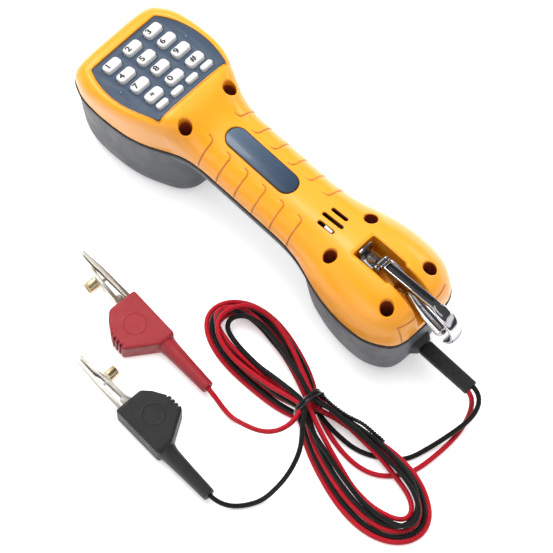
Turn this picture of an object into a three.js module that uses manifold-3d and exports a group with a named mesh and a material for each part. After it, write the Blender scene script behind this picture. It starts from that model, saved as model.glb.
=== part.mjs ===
// A telephone line test handset lying on its ear and mouth cups, with its belt snap hook, and a pair of
// test leads that end in booted clips. Millimetres. +X runs from the ear end to the cord end, +Y is to the
// right of the keypad's digits, +Z is up from the surface that the handset and its leads lie on.
import * as THREE from 'three';
import * as BufferGeometryUtils from 'three/addons/utils/BufferGeometryUtils.js';
import Module from 'manifold-3d';

const wasm = await Module();
wasm.setup();

// ---------------------------------------------------------------- driving dimensions

const GAP = 0.3;                    // clearance between pieces that touch
const WALL = 2.6;                   // wall of both shells
const EAR_END = -128.5;
const CORD_END = 126.5;
const HOOK_END = 149.1;             // furthest reach of the snap hook
const GASKET_HALF = 1.3;            // half of the gasket's height
const GASKET_PROUD = 0.6;

// [x, value] pairs along the handset
const HALF_WIDTH = [[EAR_END, 20], [-127.6, 27], [-122, 34], [-112, 37.6], [-98, 38.4], [-80, 37.3],
  [-66, 34.2], [-52, 27.8], [-40, 23.8], [-24, 22.8], [30, 22.8], [42, 23.4], [54, 26], [66, 29.8],
  [78, 32.6], [92, 33.8], [104, 33.4], [114, 30.8], [121, 26], [125.2, 20], [CORD_END, 14]];
const TOP = [[EAR_END, 56.5], [-127.6, 60], [-125, 63.4], [-120, 66.4], [-92, 75.4], [-62, 84.4],
  [-56, 85], [-50, 83.2], [-42, 78.8], [-34, 75.6], [-24, 74.4], [0, 74], [20, 74.4], [40, 76], [55, 78.2],
  [68, 81], [80, 83.4], [92, 84.2], [105, 83.5], [114, 81.3], [120, 77.5], [124, 71.5], [126, 65],
  [CORD_END, 62]];
const PARTING = [[EAR_END, 50], [-92, 51], [-60, 52.6], [-34, 55.4], [0, 56], [40, 56], [60, 54.6],
  [90, 53], [CORD_END, 52]];
const UNDERSIDE = [[EAR_END, 44], [-80, 40], [-40, 36], [0, 35], [40, 36], [80, 40], [CORD_END, 46]];
const SQUARENESS = [[EAR_END, 4], [-108, 5.6], [-60, 7], [-47, 3.8], [-34, 2.2], [30, 2.05], [70, 2.1],
  [CORD_END, 2.4]];

// Cups: [height above the surface, inset of the outline]
const EAR_CUP = { from: EAR_END, to: -39, insets: [[0, 8], [1.5, 5.4], [5, 3.4], [12, 2.2], [52, 0.2]] };
const MOUTH_CUP = { from: 46, to: CORD_END, insets: [[0, 12], [1.5, 9.4], [5, 7], [14, 4.8], [56, 0.2]] };
const CUP_CORNER = 12;

const PAD_TILT = THREE.MathUtils.degToRad(17);
const PAD_ORIGIN = new THREE.Vector3(-91.2, 0, 73.4);      // middle of the telephone keys, on the panel's face
const PAD_FROM = -27;                                   // the panel's ends, along its own slope
const PAD_TO = 33;
const PAD_HALF = { ear: 25, middle: 32, handle: 26.4 };
const PANEL_THICK = 1.5;
const KEY_PITCH = { across: 16.2, along: 12.2 };
const KEY = { across: 11.5, along: 7, corner: 2.4, proud: 3 };
const FUNCTION_KEY = { across: 8.5, along: 4, corner: 1.9, proud: 2.4 };
const FUNCTION_ROW = 26.9;
const FUNCTION_PITCH = 11.65;
const LAMP_SIDE = 26;

const SCREWS = [[-47.2, -17.6], [-47.2, 17.6], [66.8, -16.4], [66.8, 16.4], [111.6, -17.2], [111.6, 17.2]];
const WELL_RADIUS = 4;
const BOSS_RADIUS = 5.6;
const SHANK_RADIUS = 1.5;
const SCREW_HEAD = { radius: 3.3, height: 2.2 };

const LABEL = { from: -23, to: 16.5, half: 7, thick: 1.2, top: 74.5 };
const SLOT_X = 52.9;
const SLOT_WIDTH = 2.4;
const SLOTS = [{ y: -5.5, length: 12.5 }, { y: 0, length: 16 }, { y: 5.5, length: 12.5 }];

const RECESS = { from: 76.5, to: 102, half: 8.3, floor: 64 };
const CHANNEL = { half: 7, floor: 58.5 };
const GUTTER_LAP = 3;                    // the channel's floor runs back this far under the recess

const HOOK_TURN = new THREE.Vector3(91, 0, 78);         // the pin that the hook folds about
const HOOK_SPINE_HALF = 2.8;
const HOOK_BOW_HALF = 4.3;
const HOOK_SHEET = 1;                                   // sheet metal of the hook and its gate

const FLANGE = { base: 116, base_half: 10.4, neck: 127, neck_half: 4.9, z: 22.4 };
const SLEEVE = { from: 127.4, to: 163.4, width: 9.4, height: 5, z: 22 };

const LEAD_RADIUS = 1.5;
const LEAD_SIDES = 8;
const FLOOR_LEAD_Z = 1.65;
const RED_START_ROUTE = [[164.3, -1.9, 22], [166.6, -2.3, 20.8], [169, -4.2, 14.6], [170.9, -9, 6.5],
  [172.6, -20, FLOOR_LEAD_Z], [172.6, -36, FLOOR_LEAD_Z], [170.6, -52.2, FLOOR_LEAD_Z]];
const BLACK_START_ROUTE = [[164.3, 1.9, 22], [166.8, 1.8, 21.8], [170.6, 0.6, 19.8], [173.4, -4.4, 15.8],
  [173.4, -12, 10.6], [170.4, -24, 5.6], [166, -39.5, FLOOR_LEAD_Z], [162.2, -50.9, FLOOR_LEAD_Z]];
const RED_END_ROUTE = [[106.2, -82.6, FLOOR_LEAD_Z], [106.4, -87.4, FLOOR_LEAD_Z], [103, -95.6, FLOOR_LEAD_Z],
  [94.6, -101, FLOOR_LEAD_Z], [80, -102.6, FLOOR_LEAD_Z], [68, -102, 2.4], [60.4, -101.2, 5.6], [54.4, -100.5, 7]];
const BLACK_END_ROUTE = [[112.6, -84.2, FLOOR_LEAD_Z], [117, -88.4, FLOOR_LEAD_Z],
  [122.4, -97, FLOOR_LEAD_Z], [125.2, -111, FLOOR_LEAD_Z], [122.6, -125, FLOOR_LEAD_Z],
  [117.6, -135, FLOOR_LEAD_Z], [111.4, -142, 2.6], [106.6, -144.9, 5.6], [102, -145.9, 7]];
const HANK = { x: 104, y: -69.5, turn: THREE.MathUtils.degToRad(-5), neck: 7.5, height: 7.5,
  ear_lobe: { length: 84, half: 21.5 }, cord_lobe: { length: 98, half: 22.5 } };

const CLIP_THICK = 13.6;
const CLIPS = {
  red: { x: -3.7, y: -103, turn: THREE.MathUtils.degToRad(-3.8), side: 1 },
  black: { x: 44.2, y: -136.8, turn: THREE.MathUtils.degToRad(-2.4), side: -1 },
};

// ---------------------------------------------------------------- helpers

// A smooth curve through [x, value] pairs that never overshoots them.
function smooth(pairs) {
  const slopes = pairs.slice(1).map(([x, v], i) => (v - pairs[i][1]) / (x - pairs[i][0]));
  const tangents = pairs.map((_, i) => {
    if (i === 0) return slopes[0];
    if (i === slopes.length) return slopes[i - 1];
    const product = slopes[i - 1] * slopes[i];
    return product <= 0 ? 0 : (2 * product) / (slopes[i - 1] + slopes[i]);
  });
  return (x) => {
    let i = 0;
    while (i < pairs.length - 2 && x > pairs[i + 1][0]) i += 1;
    const width = pairs[i + 1][0] - pairs[i][0];
    const t = THREE.MathUtils.clamp((x - pairs[i][0]) / width, 0, 1);
    const rest = 1 - t;
    return (1 + 2 * t) * rest * rest * pairs[i][1] + t * rest * rest * width * tangents[i]
      + t * t * (3 - 2 * t) * pairs[i + 1][1] - t * t * rest * width * tangents[i + 1];
  };
}

function solid(geometry) {
  const bare = geometry.index ? geometry.toNonIndexed() : geometry.clone();
  for (const name of Object.keys(bare.attributes)) {
    if (name !== 'position') bare.deleteAttribute(name);
  }
  const merged = BufferGeometryUtils.mergeVertices(bare, 1e-3);
  return new wasm.Manifold(new wasm.Mesh({
    numProp: 3,
    vertProperties: new Float32Array(merged.attributes.position.array),
    triVerts: new Uint32Array(merged.index.array),
  }));
}

function geometryOf(manifold) {
  const mesh = manifold.getMesh();
  const geometry = new THREE.BufferGeometry();
  geometry.setAttribute('position', new THREE.BufferAttribute(new Float32Array(mesh.vertProperties), 3));
  geometry.setIndex(new THREE.BufferAttribute(new Uint32Array(mesh.triVerts), 1));
  geometry.computeVertexNormals();
  return geometry;
}

const join = (first, ...others) => others.reduce((sum, next) => sum.add(next), first);
const cut = (first, ...others) => others.reduce((left, next) => left.subtract(next), first);

// A closed skin through rings that all have the same number of points.
function loft(rings) {
  const count = rings[0].length;
  const positions = rings.flat().flatMap((p) => [p.x, p.y, p.z]);
  const index = [];
  for (let r = 0; r < rings.length - 1; r += 1) {
    for (let i = 0; i < count; i += 1) {
      const a = r * count + i;
      const b = r * count + ((i + 1) % count);
      index.push(a, b, b + count, a, b + count, a + count);
    }
  }
  const close = (ring, start, flip) => {
    const middle = ring.reduce((sum, p) => sum.add(p), new THREE.Vector3()).divideScalar(count);
    const centre = positions.length / 3;
    positions.push(middle.x, middle.y, middle.z);
    for (let i = 0; i < count; i += 1) {
      const next = (i + 1) % count;
      index.push(centre, start + (flip ? next : i), start + (flip ? i : next));
    }
  };
  close(rings[0], 0, true);
  close(rings[rings.length - 1], (rings.length - 1) * count, false);
  const geometry = new THREE.BufferGeometry();
  geometry.setAttribute('position', new THREE.Float32BufferAttribute(positions, 3));
  geometry.setIndex(index);
  return geometry;
}

// A solid loft, whichever way round its rings were given.
function loftSolid(rings) {
  const forward = solid(loft(rings));
  return forward.volume() > 0 ? forward : solid(loft(rings.slice().reverse()));
}

function box(x0, x1, y0, y1, z0, z1) {
  const geometry = new THREE.BoxGeometry(x1 - x0, y1 - y0, z1 - z0);
  return geometry.translate((x0 + x1) / 2, (y0 + y1) / 2, (z0 + z1) / 2);
}

function cylinder(x, y, z0, z1, radius, sides = 16) {
  const geometry = new THREE.CylinderGeometry(radius, radius, z1 - z0, sides);
  return geometry.rotateX(Math.PI / 2).translate(x, y, (z0 + z1) / 2);
}

function roundedRectangle(width, height, corner) {
  const shape = new THREE.Shape();
  const x = width / 2;
  const y = height / 2;
  shape.moveTo(-x + corner, -y);
  shape.lineTo(x - corner, -y);
  shape.absarc(x - corner, -y + corner, corner, -Math.PI / 2, 0);
  shape.lineTo(x, y - corner);
  shape.absarc(x - corner, y - corner, corner, 0, Math.PI / 2);
  shape.lineTo(-x + corner, y);
  shape.absarc(-x + corner, y - corner, corner, Math.PI / 2, Math.PI);
  shape.lineTo(-x, -y + corner);
  shape.absarc(-x + corner, -y + corner, corner, Math.PI, 1.5 * Math.PI);
  return shape;
}

function plate(shape, z0, z1, curveSegments = 4) {
  const geometry = new THREE.ExtrudeGeometry(shape, { depth: z1 - z0, bevelEnabled: false, curveSegments });
  return geometry.translate(0, 0, z0);
}

function polygon(points) {
  return new THREE.Shape(points.map(([x, y]) => new THREE.Vector2(x, y)));
}

// Sample places along X, closer together towards both ends.
function stations(from, to, count) {
  return Array.from({ length: count + 1 }, (_, i) => {
    const even = i / count;
    const eased = (1 - Math.cos(Math.PI * even)) / 2;
    return from + (to - from) * (0.45 * even + 0.55 * eased);
  });
}

const materials = {};

function material(name, color, roughness, metalness = 0) {
  materials[name] = new THREE.MeshStandardMaterial({ color, roughness, metalness });
}

material('shell_yellow', 0xffa81c, 0.38);
material('shell_grey', 0x64676d, 0.5);
material('gasket_black', 0x2c2d2f, 0.75);
material('panel_blue', 0x3f5f82, 0.45);
material('key_white', 0xf2f1ec, 0.35);
material('lamp_clear', 0x9aa3b0, 0.2);
material('rubber_black', 0x2b2b2c, 0.7);
material('board_green', 0x2f6b45, 0.6);
material('steel', 0xb8b9bb, 0.35, 1);
material('chrome', 0xe6e7ea, 0.1, 1);
material('nickel', 0xcfc9bb, 0.25, 1);
material('brass', 0xc9a35a, 0.3, 1);
material('boot_red', 0xb0323a, 0.55);
material('boot_black', 0x3a3a3b, 0.55);
material('lead_red', 0xd0203a, 0.6);
material('lead_black', 0x1e1e1f, 0.6);
material('tie_black', 0x151516, 0.25);

const group = new THREE.Group();
const keypad = new THREE.Group();
keypad.position.copy(PAD_ORIGIN);
keypad.rotation.y = -PAD_TILT;
group.add(keypad);

function add(name, shape, materialName, parent = group) {
  const geometry = shape instanceof wasm.Manifold ? geometryOf(shape) : shape;
  const mesh = new THREE.Mesh(geometry, materials[materialName].clone());
  mesh.name = name;
  parent.add(mesh);
  return mesh;
}

// ---------------------------------------------------------------- casing

const halfWidthAt = smooth(HALF_WIDTH);
const topAt = smooth(TOP);
const partingAt = smooth(PARTING);
const undersideAt = smooth(UNDERSIDE);
const squarenessAt = smooth(SQUARENESS);

// Half of a rounded-square section: the arc from +Y to -Y, over the top (up = 1) or under (up = -1).
function archRing(x, half, rise, exponent, base, skirt, up, steps) {
  const ring = [];
  for (let i = 0; i <= steps; i += 1) {
    const angle = (Math.PI * i) / steps;
    const across = Math.sign(Math.cos(angle)) * Math.abs(Math.cos(angle)) ** (2 / exponent);
    const high = Math.abs(Math.sin(angle)) ** (2 / exponent);
    ring.push(new THREE.Vector3(x, half * across, base + up * rise * high));
  }
  ring.push(new THREE.Vector3(x, -half, base - up * skirt));
  ring.push(new THREE.Vector3(x, half, base - up * skirt));
  return ring;
}

// The upper shell's outer skin, or with an inset its inner one.
function upperSkin(inset, steps, count) {
  const rings = stations(EAR_END + inset, CORD_END - inset, count).map((x) => {
    const base = partingAt(x) + GASKET_HALF + GAP + 0.6;
    const rise = Math.max(topAt(x) - inset - base, 1);
    return archRing(x, halfWidthAt(x) - inset, rise, squarenessAt(x), base, inset > 0 ? 2 : 0.6, 1, steps);
  });
  return loftSolid(rings);
}

function handleUnderSkin(inset, steps, count) {
  const rings = stations(EAR_END + 6 + inset, CORD_END - 6 - inset, count).map((x) => {
    const base = partingAt(x) - GASKET_HALF - GAP - 0.6;
    const drop = base - undersideAt(x) - inset;
    return archRing(x, halfWidthAt(x) - inset - 0.3, drop, 2.2, base, inset > 0 ? 2 : 0.6, -1, steps);
  });
  return loftSolid(rings);
}

// Outline of a cup at the parting line, with rounded corners on the side of the handle, drawn inwards.
function cupOutline(cup, inset, count) {
  const length = cup.to - cup.from;
  const handleAtEnd = cup.from === EAR_END;
  const side = [];
  for (let i = 0; i <= count; i += 1) {
    const along = (1 - Math.cos((Math.PI * i) / count)) / 2;
    const x = cup.from + length * along;
    const toHandle = handleAtEnd ? cup.to - x : x - cup.from;
    const round = Math.max(CUP_CORNER - toHandle, 0);
    const lost = CUP_CORNER - Math.sqrt(Math.max(CUP_CORNER ** 2 - round ** 2, 0));
    side.push([x, Math.max(halfWidthAt(x) - lost, 2)]);
  }
  const middle = (cup.from + cup.to) / 2;
  const widest = Math.max(...side.map(([, y]) => y));
  const shrinkX = (length / 2 - inset) / (length / 2);
  const shrinkY = (widest - inset) / widest;
  const point = ([x, y], sign) => [middle + (x - middle) * shrinkX, sign * y * shrinkY];
  return [...side.map((p) => point(p, -1)), ...side.slice().reverse().map((p) => point(p, 1))];
}

function cupSkin(cup, inset, floor, count, levels) {
  const insetAt = smooth(cup.insets);
  const top = cup.insets[cup.insets.length - 1][0];
  const rings = levels.filter((z) => z > floor).concat(floor, top).sort((a, b) => a - b).map((z) => {
    const ring = cupOutline(cup, inset + insetAt(z - (inset > 0 ? floor : 0)), count);
    return ring.map(([x, y]) => {
      const ceiling = partingAt(THREE.MathUtils.clamp(x, EAR_END, CORD_END)) - GASKET_HALF - GAP;
      return new THREE.Vector3(x, y, z === top ? ceiling + (inset > 0 ? 2 : 0) : Math.min(z, ceiling - 3));
    });
  });
  return loftSolid(rings);
}

function ringSlab(outset, inset, half, count) {
  const slab = (offset, halfHeight) => loftSolid(
    stations(EAR_END - offset, CORD_END + offset, count).map((x) => {
      const y = halfWidthAt(THREE.MathUtils.clamp(x, EAR_END, CORD_END)) + offset;
      const z = partingAt(THREE.MathUtils.clamp(x, EAR_END, CORD_END));
      return [[y, halfHeight], [-y, halfHeight], [-y, -halfHeight], [y, -halfHeight]]
        .map(([across, high]) => new THREE.Vector3(x, across, z + high));
    }),
  );
  return cut(slab(outset, half), slab(-inset, half + 2));
}

function screwFloor(x) {
  return partingAt(x) + 5;
}

function panelShape(grow) {
  const shape = new THREE.Shape();
  const middle = (PAD_FROM + PAD_TO) / 2;
  shape.moveTo(PAD_FROM - grow, -PAD_HALF.ear - grow);
  shape.quadraticCurveTo(middle - 4, -2 * PAD_HALF.middle + PAD_HALF.ear / 2 + PAD_HALF.handle / 2 - grow,
    PAD_TO + grow, -PAD_HALF.handle - grow);
  shape.lineTo(PAD_TO + grow, PAD_HALF.handle + grow);
  shape.quadraticCurveTo(middle - 4, 2 * PAD_HALF.middle - PAD_HALF.ear / 2 - PAD_HALF.handle / 2 + grow,
    PAD_FROM - grow, PAD_HALF.ear + grow);
  shape.closePath();
  return shape;
}

// Moves a shape from the keypad's own frame into the handset's frame.
function fromPad(geometry) {
  return geometry.rotateY(-PAD_TILT).translate(PAD_ORIGIN.x, PAD_ORIGIN.y, PAD_ORIGIN.z);
}

function stadium(from, to, half) {
  const shape = new THREE.Shape();
  shape.moveTo(from, -half);
  shape.lineTo(to, -half);
  shape.absarc(to, 0, half, -Math.PI / 2, Math.PI / 2);
  shape.lineTo(from, half);
  shape.absarc(from, 0, half, Math.PI / 2, 1.5 * Math.PI);
  return shape;
}

function makeUpperShell() {
  const outer = upperSkin(0, 14, 30);
  let shell = cut(outer, upperSkin(WALL, 8, 18));
  const stiffening = SCREWS.map(([x, y]) => solid(cylinder(x, y, partingAt(x) + 2.2, 100, BOSS_RADIUS, 12)));
  const tray = solid(box(RECESS.from - 2, RECESS.to + 2, -RECESS.half - 2, RECESS.half + 2,
    RECESS.floor - 2, 100));
  const gutter = solid(box(RECESS.to - GUTTER_LAP, CORD_END, -CHANNEL.half - 2, CHANNEL.half + 2,
    CHANNEL.floor - 2, 100));
  shell = join(shell, join(tray, gutter, ...stiffening).intersect(outer));
  const holes = SCREWS.flatMap(([x, y]) => [
    solid(cylinder(x, y, screwFloor(x), 100, WELL_RADIUS, 14)),
    solid(cylinder(x, y, 40, 100, SHANK_RADIUS + GAP, 8)),
  ]);
  const window = solid(fromPad(plate(panelShape(GAP), -12, 20, 8)));
  const pocket = solid(box(RECESS.from, RECESS.to, -RECESS.half, RECESS.half, RECESS.floor, 100));
  const channel = solid(box(RECESS.to - 1, CORD_END + 5, -CHANNEL.half, CHANNEL.half, CHANNEL.floor, 100));
  const labelSeat = solid(plate(stadium(LABEL.from, LABEL.to, LABEL.half + GAP),
    LABEL.top - LABEL.thick - GAP, 100, 8));
  const slots = SLOTS.map(({ y, length }) => solid(plate(
    stadium(SLOT_X - length / 2 + SLOT_WIDTH / 2, SLOT_X + length / 2 - SLOT_WIDTH / 2, SLOT_WIDTH / 2),
    60, 100, 4).translate(0, y, 0)));
  return cut(shell, window, pocket, channel, labelSeat, ...slots, ...holes);
}

const EAR_LEVELS = [0, 1.5, 5, 12, 30];
const MOUTH_LEVELS = [0, 1.5, 5, 14, 34];
const EAR_GRILLE = { x: -88, radius: 20 };
const MOUTH_GRILLE = { x: 92, radius: 9 };

function makeLowerShell() {
  const ear = cupSkin(EAR_CUP, 0, 0, 12, EAR_LEVELS);
  const mouth = cupSkin(MOUTH_CUP, 0, 0, 12, MOUTH_LEVELS);
  const outer = join(handleUnderSkin(0, 10, 24), ear, mouth);
  const inner = join(
    handleUnderSkin(WALL, 6, 16),
    cupSkin(EAR_CUP, WALL, WALL, 12, EAR_LEVELS),
    cupSkin(MOUTH_CUP, WALL, WALL, 12, MOUTH_LEVELS),
  );
  const posts = SCREWS.map(([x, y]) => {
    const top = partingAt(x) - GASKET_HALF - GAP - 1;
    return solid(cylinder(x, y, 1, top, 3.6, 12));
  });
  const shell = join(cut(outer, inner), join(...posts).intersect(outer));
  const holes = SCREWS.map(([x, y]) => solid(cylinder(x, y, partingAt(x) - 11, 70, SHANK_RADIUS + GAP, 8)));
  const grilles = [EAR_GRILLE, MOUTH_GRILLE].map(({ x, radius }) => solid(
    cylinder(x, 0, -1, WALL + 1, radius + GAP, 24)));
  const gland = solid(box(CORD_END - 16, CORD_END + 4, -6, 6, FLANGE.z - 4, FLANGE.z + 4));
  return cut(shell, gland, ...grilles, ...holes);
}

function makeGrille({ x, radius }, holeCount) {
  const disc = solid(cylinder(x, 0, 0.2, WALL, radius, 24));
  const holes = Array.from({ length: holeCount }, (_, i) => {
    const angle = (2 * Math.PI * i) / holeCount;
    const reach = radius * 0.55;
    return solid(cylinder(x + reach * Math.cos(angle), reach * Math.sin(angle), -1, WALL + 1, 1.2, 6));
  });
  return cut(disc, ...holes);
}

function makeScrew(x, y) {
  const seat = screwFloor(x) + GAP;
  const head = solid(cylinder(x, y, seat, seat + SCREW_HEAD.height, SCREW_HEAD.radius, 12));
  const shank = solid(cylinder(x, y, partingAt(x) - 9, seat + 1, SHANK_RADIUS, 8));
  const cross = [[0.5, 2.2], [2.2, 0.5]].map(([dx, dy]) => solid(
    box(x - dx, x + dx, y - dy, y + dy, seat + SCREW_HEAD.height - 0.9, seat + 9)));
  return cut(join(head, shank), ...cross);
}

function addCasing() {
  add('upper_shell', makeUpperShell(), 'shell_yellow');
  add('lower_shell', makeLowerShell(), 'shell_grey');
  add('shell_gasket', ringSlab(GASKET_PROUD, 1.8, GASKET_HALF, 30), 'gasket_black');
  add('ear_grille', makeGrille(EAR_GRILLE, 8), 'shell_grey');
  add('mouth_grille', makeGrille(MOUTH_GRILLE, 5), 'shell_grey');
  add('ear_receiver', cylinder(EAR_GRILLE.x, 0, WALL + GAP, 15, 18, 24), 'rubber_black');
  add('microphone', cylinder(MOUTH_GRILLE.x, 0, WALL + GAP, 9, 5, 16), 'steel');
  add('sounder', cylinder(SLOT_X, 0, 63, 67.5, 8, 20), 'rubber_black');
  const label = plate(stadium(LABEL.from, LABEL.to, LABEL.half), LABEL.top - LABEL.thick, LABEL.top, 8);
  add('label_plate', label, 'panel_blue');
  SCREWS.forEach(([x, y], i) => add(`shell_screw_${i + 1}`, makeScrew(x, y), 'steel'));
}

// ---------------------------------------------------------------- keypad

const KEY_NAMES = ['key_1', 'key_2', 'key_3', 'key_4', 'key_5', 'key_6', 'key_7', 'key_8', 'key_9',
  'key_star', 'key_0', 'key_hash'];

function keyPlaces() {
  const keys = KEY_NAMES.map((name, i) => ({
    name,
    size: KEY,
    x: (Math.floor(i / 3) - 1.5) * KEY_PITCH.along,
    y: ((i % 3) - 1) * KEY_PITCH.across,
  }));
  const functions = [0, 1, 2, 3].map((i) => ({
    name: `function_key_${i + 1}`,
    size: FUNCTION_KEY,
    x: FUNCTION_ROW,
    y: (i - 1.5) * FUNCTION_PITCH,
  }));
  return keys.concat(functions);
}

const KEY_FOOT = { below: -3.2, thick: 1, wider: 1.2 };

function makeKey(size) {
  const shape = roundedRectangle(size.along, size.across, size.corner);
  const bevel = 0.7;
  const cap = new THREE.ExtrudeGeometry(shape, {
    depth: size.proud - KEY_FOOT.below - bevel - 0.4,
    bevelEnabled: true,
    bevelThickness: bevel,
    bevelSize: bevel,
    bevelOffset: -bevel,
    bevelSegments: 1,
    curveSegments: 2,
  }).translate(0, 0, KEY_FOOT.below + 0.4);
  const foot = box(-size.along / 2 - KEY_FOOT.wider / 2, size.along / 2 + KEY_FOOT.wider / 2,
    -size.across / 2 - KEY_FOOT.wider / 2, size.across / 2 + KEY_FOOT.wider / 2,
    KEY_FOOT.below, KEY_FOOT.below + KEY_FOOT.thick);
  return join(solid(cap), solid(foot));
}

function makePanel() {
  const openings = keyPlaces().map(({ size, x, y }) => {
    const hole = roundedRectangle(size.along + 2 * GAP, size.across + 2 * GAP, size.corner);
    return solid(plate(hole, -9, 9, 1).translate(x, y, 0));
  });
  const lampHoles = [-1, 1].map((side) => solid(cylinder(0, side * LAMP_SIDE, -9, 9, 1.8, 10)));
  return cut(solid(plate(panelShape(0), -PANEL_THICK, 0, 8)), ...openings, ...lampHoles);
}

function makeMembrane() {
  const sheet = solid(box(PAD_FROM + 3, PAD_TO - 2, -24, 24, -6.6, -5.6));
  const domes = keyPlaces().map(({ x, y }) => solid(cylinder(x, y, -6, -5, 1.6, 6)));
  return join(sheet, ...domes);
}

function addKeypad() {
  add('keypad_panel', makePanel(), 'panel_blue', keypad);
  add('keypad_membrane', makeMembrane(), 'rubber_black', keypad);
  add('main_board', box(PAD_FROM + 3, PAD_TO - 2, -25, 25, -8.6, -7), 'board_green', keypad);
  [['lamp_left', -1], ['lamp_right', 1]].forEach(([name, side]) => {
    add(name, cylinder(0, side * LAMP_SIDE, -PANEL_THICK, 0.4, 1.5, 12), 'lamp_clear', keypad);
  });
  for (const { name, size, x, y } of keyPlaces()) {
    add(name, makeKey(size), 'key_white', keypad).position.set(x, y, 0);
  }
  const knob = { from: SLOT_X - 0.8, to: SLOT_X + 4.8, half: 0.85, slot: SLOTS[0].y };
  const stem = solid(box(knob.from, knob.to, knob.slot - knob.half, knob.slot + knob.half, 72.4, 77.6));
  const slider = solid(box(knob.from - 1, knob.to + 1, knob.slot - 1.9, knob.slot + 1.9, 71.6, 73));
  add('talk_switch', join(stem, slider), 'key_white');
}

// ---------------------------------------------------------------- belt hook

const PIN_RADIUS = 1.3;

function alongY(radius, y0, y1, sides = 12) {
  return new THREE.CylinderGeometry(radius, radius, y1 - y0, sides)
    .translate(0, (y0 + y1) / 2, 0);
}

function alongX(radius, x0, x1, sides = 12) {
  return new THREE.CylinderGeometry(radius, radius, x1 - x0, sides)
    .rotateZ(-Math.PI / 2).translate((x0 + x1) / 2, 0, 0);
}

const BRACKET = { from: 77.6, to: 88.4, half: 4.6, top: 73.6, thick: 1.4, heel_top: 80.6, screw_x: 83.4 };

function makeBracket() {
  const { from, to, half, top, thick } = BRACKET;
  const low = RECESS.floor + GAP;
  const bridge = solid(box(from, to, -half, half, top - thick, top));
  const heel = solid(box(from, from + thick, -half, half, low, BRACKET.heel_top));
  const front = solid(box(to - thick, to, -half, half, low, top));
  const ears = [-1, 1].map((side) => {
    const y = side * (half - thick / 2);
    return solid(box(to - 0.5, HOOK_TURN.x + 2.2, y - thick / 2, y + thick / 2, top - 4, HOOK_TURN.z + 2.2));
  });
  const pin = solid(alongY(PIN_RADIUS, 0.5 - half, half - 0.5).translate(HOOK_TURN.x, 0, HOOK_TURN.z));
  const screwHole = solid(cylinder(BRACKET.screw_x, 0, top - 5, top + 5, SHANK_RADIUS + GAP, 10));
  return cut(join(bridge, heel, front, pin, ...ears), screwHole);
}

function makeClipScrew() {
  const x = BRACKET.screw_x;
  const head = solid(cylinder(x, 0, BRACKET.top + GAP, BRACKET.top + 2.4, 3.2, 14));
  const shank = solid(cylinder(x, 0, RECESS.floor + GAP, BRACKET.top + 1, SHANK_RADIUS, 8));
  const cross = [[0.5, 2.2], [2.2, 0.5]].map(([dx, dy]) => solid(
    box(x - dx, x + dx, -dy, dy, BRACKET.top + 1.5, BRACKET.top + 6)));
  return cut(join(head, shank), ...cross);
}

// The hook's pear-shaped loop stands on edge: its outline is drawn along X and Z, from the turning pin.
const BOW = { x: 43.3, z: -6.4, outer: 15.6, band: 3.4 };
const GATE_PIN = { x: 17.2, z: -3.6 };
const GATE_OUTER = [[16, -6.6], [28, -12], [36, -15.6], [42.4, -18.8], [48.6, -19]];
const GATE_INNER = [[50.6, -16.6], [49, -14.4], [37, -10.6], [20, -1.8]];
const SHANK_END = { from: 9.6, to: 12.4 };              // the wall in the spine that the swivel's stem goes through
const SPINE_START = 3.5;
const SPINE_TOP = 5.2;
const BOW_TURN = THREE.MathUtils.degToRad(82);          // where the spine runs into the bow

function aroundBow(angle) {
  return new THREE.Vector2(BOW.x + BOW.outer * Math.cos(angle), BOW.z + BOW.outer * Math.sin(angle));
}

function hookOutline() {
  const shape = new THREE.Shape();
  const inner = BOW.outer - BOW.band;
  const spineTurn = THREE.MathUtils.degToRad(100);
  const noseTurn = THREE.MathUtils.degToRad(-50);
  shape.moveTo(SPINE_START, SPINE_TOP - 3);
  shape.lineTo(SHANK_END.from, -2.8);
  shape.lineTo(GATE_PIN.x - 3, GATE_PIN.z - 2.6);
  shape.lineTo(GATE_PIN.x + 2.4, GATE_PIN.z - 2);
  shape.lineTo(GATE_PIN.x + 3, GATE_PIN.z + 3);
  shape.lineTo(GATE_PIN.x + 8, 3.2);
  shape.absarc(BOW.x, BOW.z, inner, spineTurn, noseTurn, true);
  const nose = aroundBow(noseTurn);
  shape.lineTo(nose.x, nose.y);
  shape.absarc(BOW.x, BOW.z, BOW.outer, noseTurn, BOW_TURN, false);
  shape.lineTo(SPINE_START, SPINE_TOP);
  shape.closePath();
  return shape;
}

// The loop's flat outlines lie in X and Z, and are thick along Y.
function onEdge(shape, half, segments = 12) {
  return solid(plate(shape, -half, half, segments).rotateX(Math.PI / 2));
}

// Half the hook's inside width: both the spine and the gate's fork are folded from sheet.
const SPINE_INSIDE = HOOK_SPINE_HALF - HOOK_SHEET;

function makeSnapHook() {
  const narrow = onEdge(hookOutline(), HOOK_SPINE_HALF);
  const wide = onEdge(hookOutline(), HOOK_BOW_HALF).intersect(
    solid(box(BOW.x - 9, BOW.x + 30, -9, 9, -30, 30)));
  const bore = solid(alongX(SHANK_RADIUS + GAP, SHANK_END.from - 2, SHANK_END.to + 1));
  const behind = solid(box(SPINE_START - 1, SHANK_END.from, -SPINE_INSIDE, SPINE_INSIDE, -9, SPINE_TOP - HOOK_SHEET));
  const headRoom = solid(box(SHANK_END.to, SHANK_END.to + 3.4, -SPINE_INSIDE, SPINE_INSIDE, -9,
    SPINE_TOP - HOOK_SHEET));
  const gateRoom = solid(box(SHANK_END.to, GATE_PIN.x + 9, -SPINE_INSIDE, SPINE_INSIDE, GATE_PIN.z - 9,
    GATE_PIN.z + 3.4));
  const trough = solid(box(SHANK_END.to + 4.4, BOW.x - 11, -SPINE_INSIDE, SPINE_INSIDE, SPINE_TOP - 2, 20));
  return cut(join(narrow, wide), bore, behind, headRoom, gateRoom, trough);
}

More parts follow.
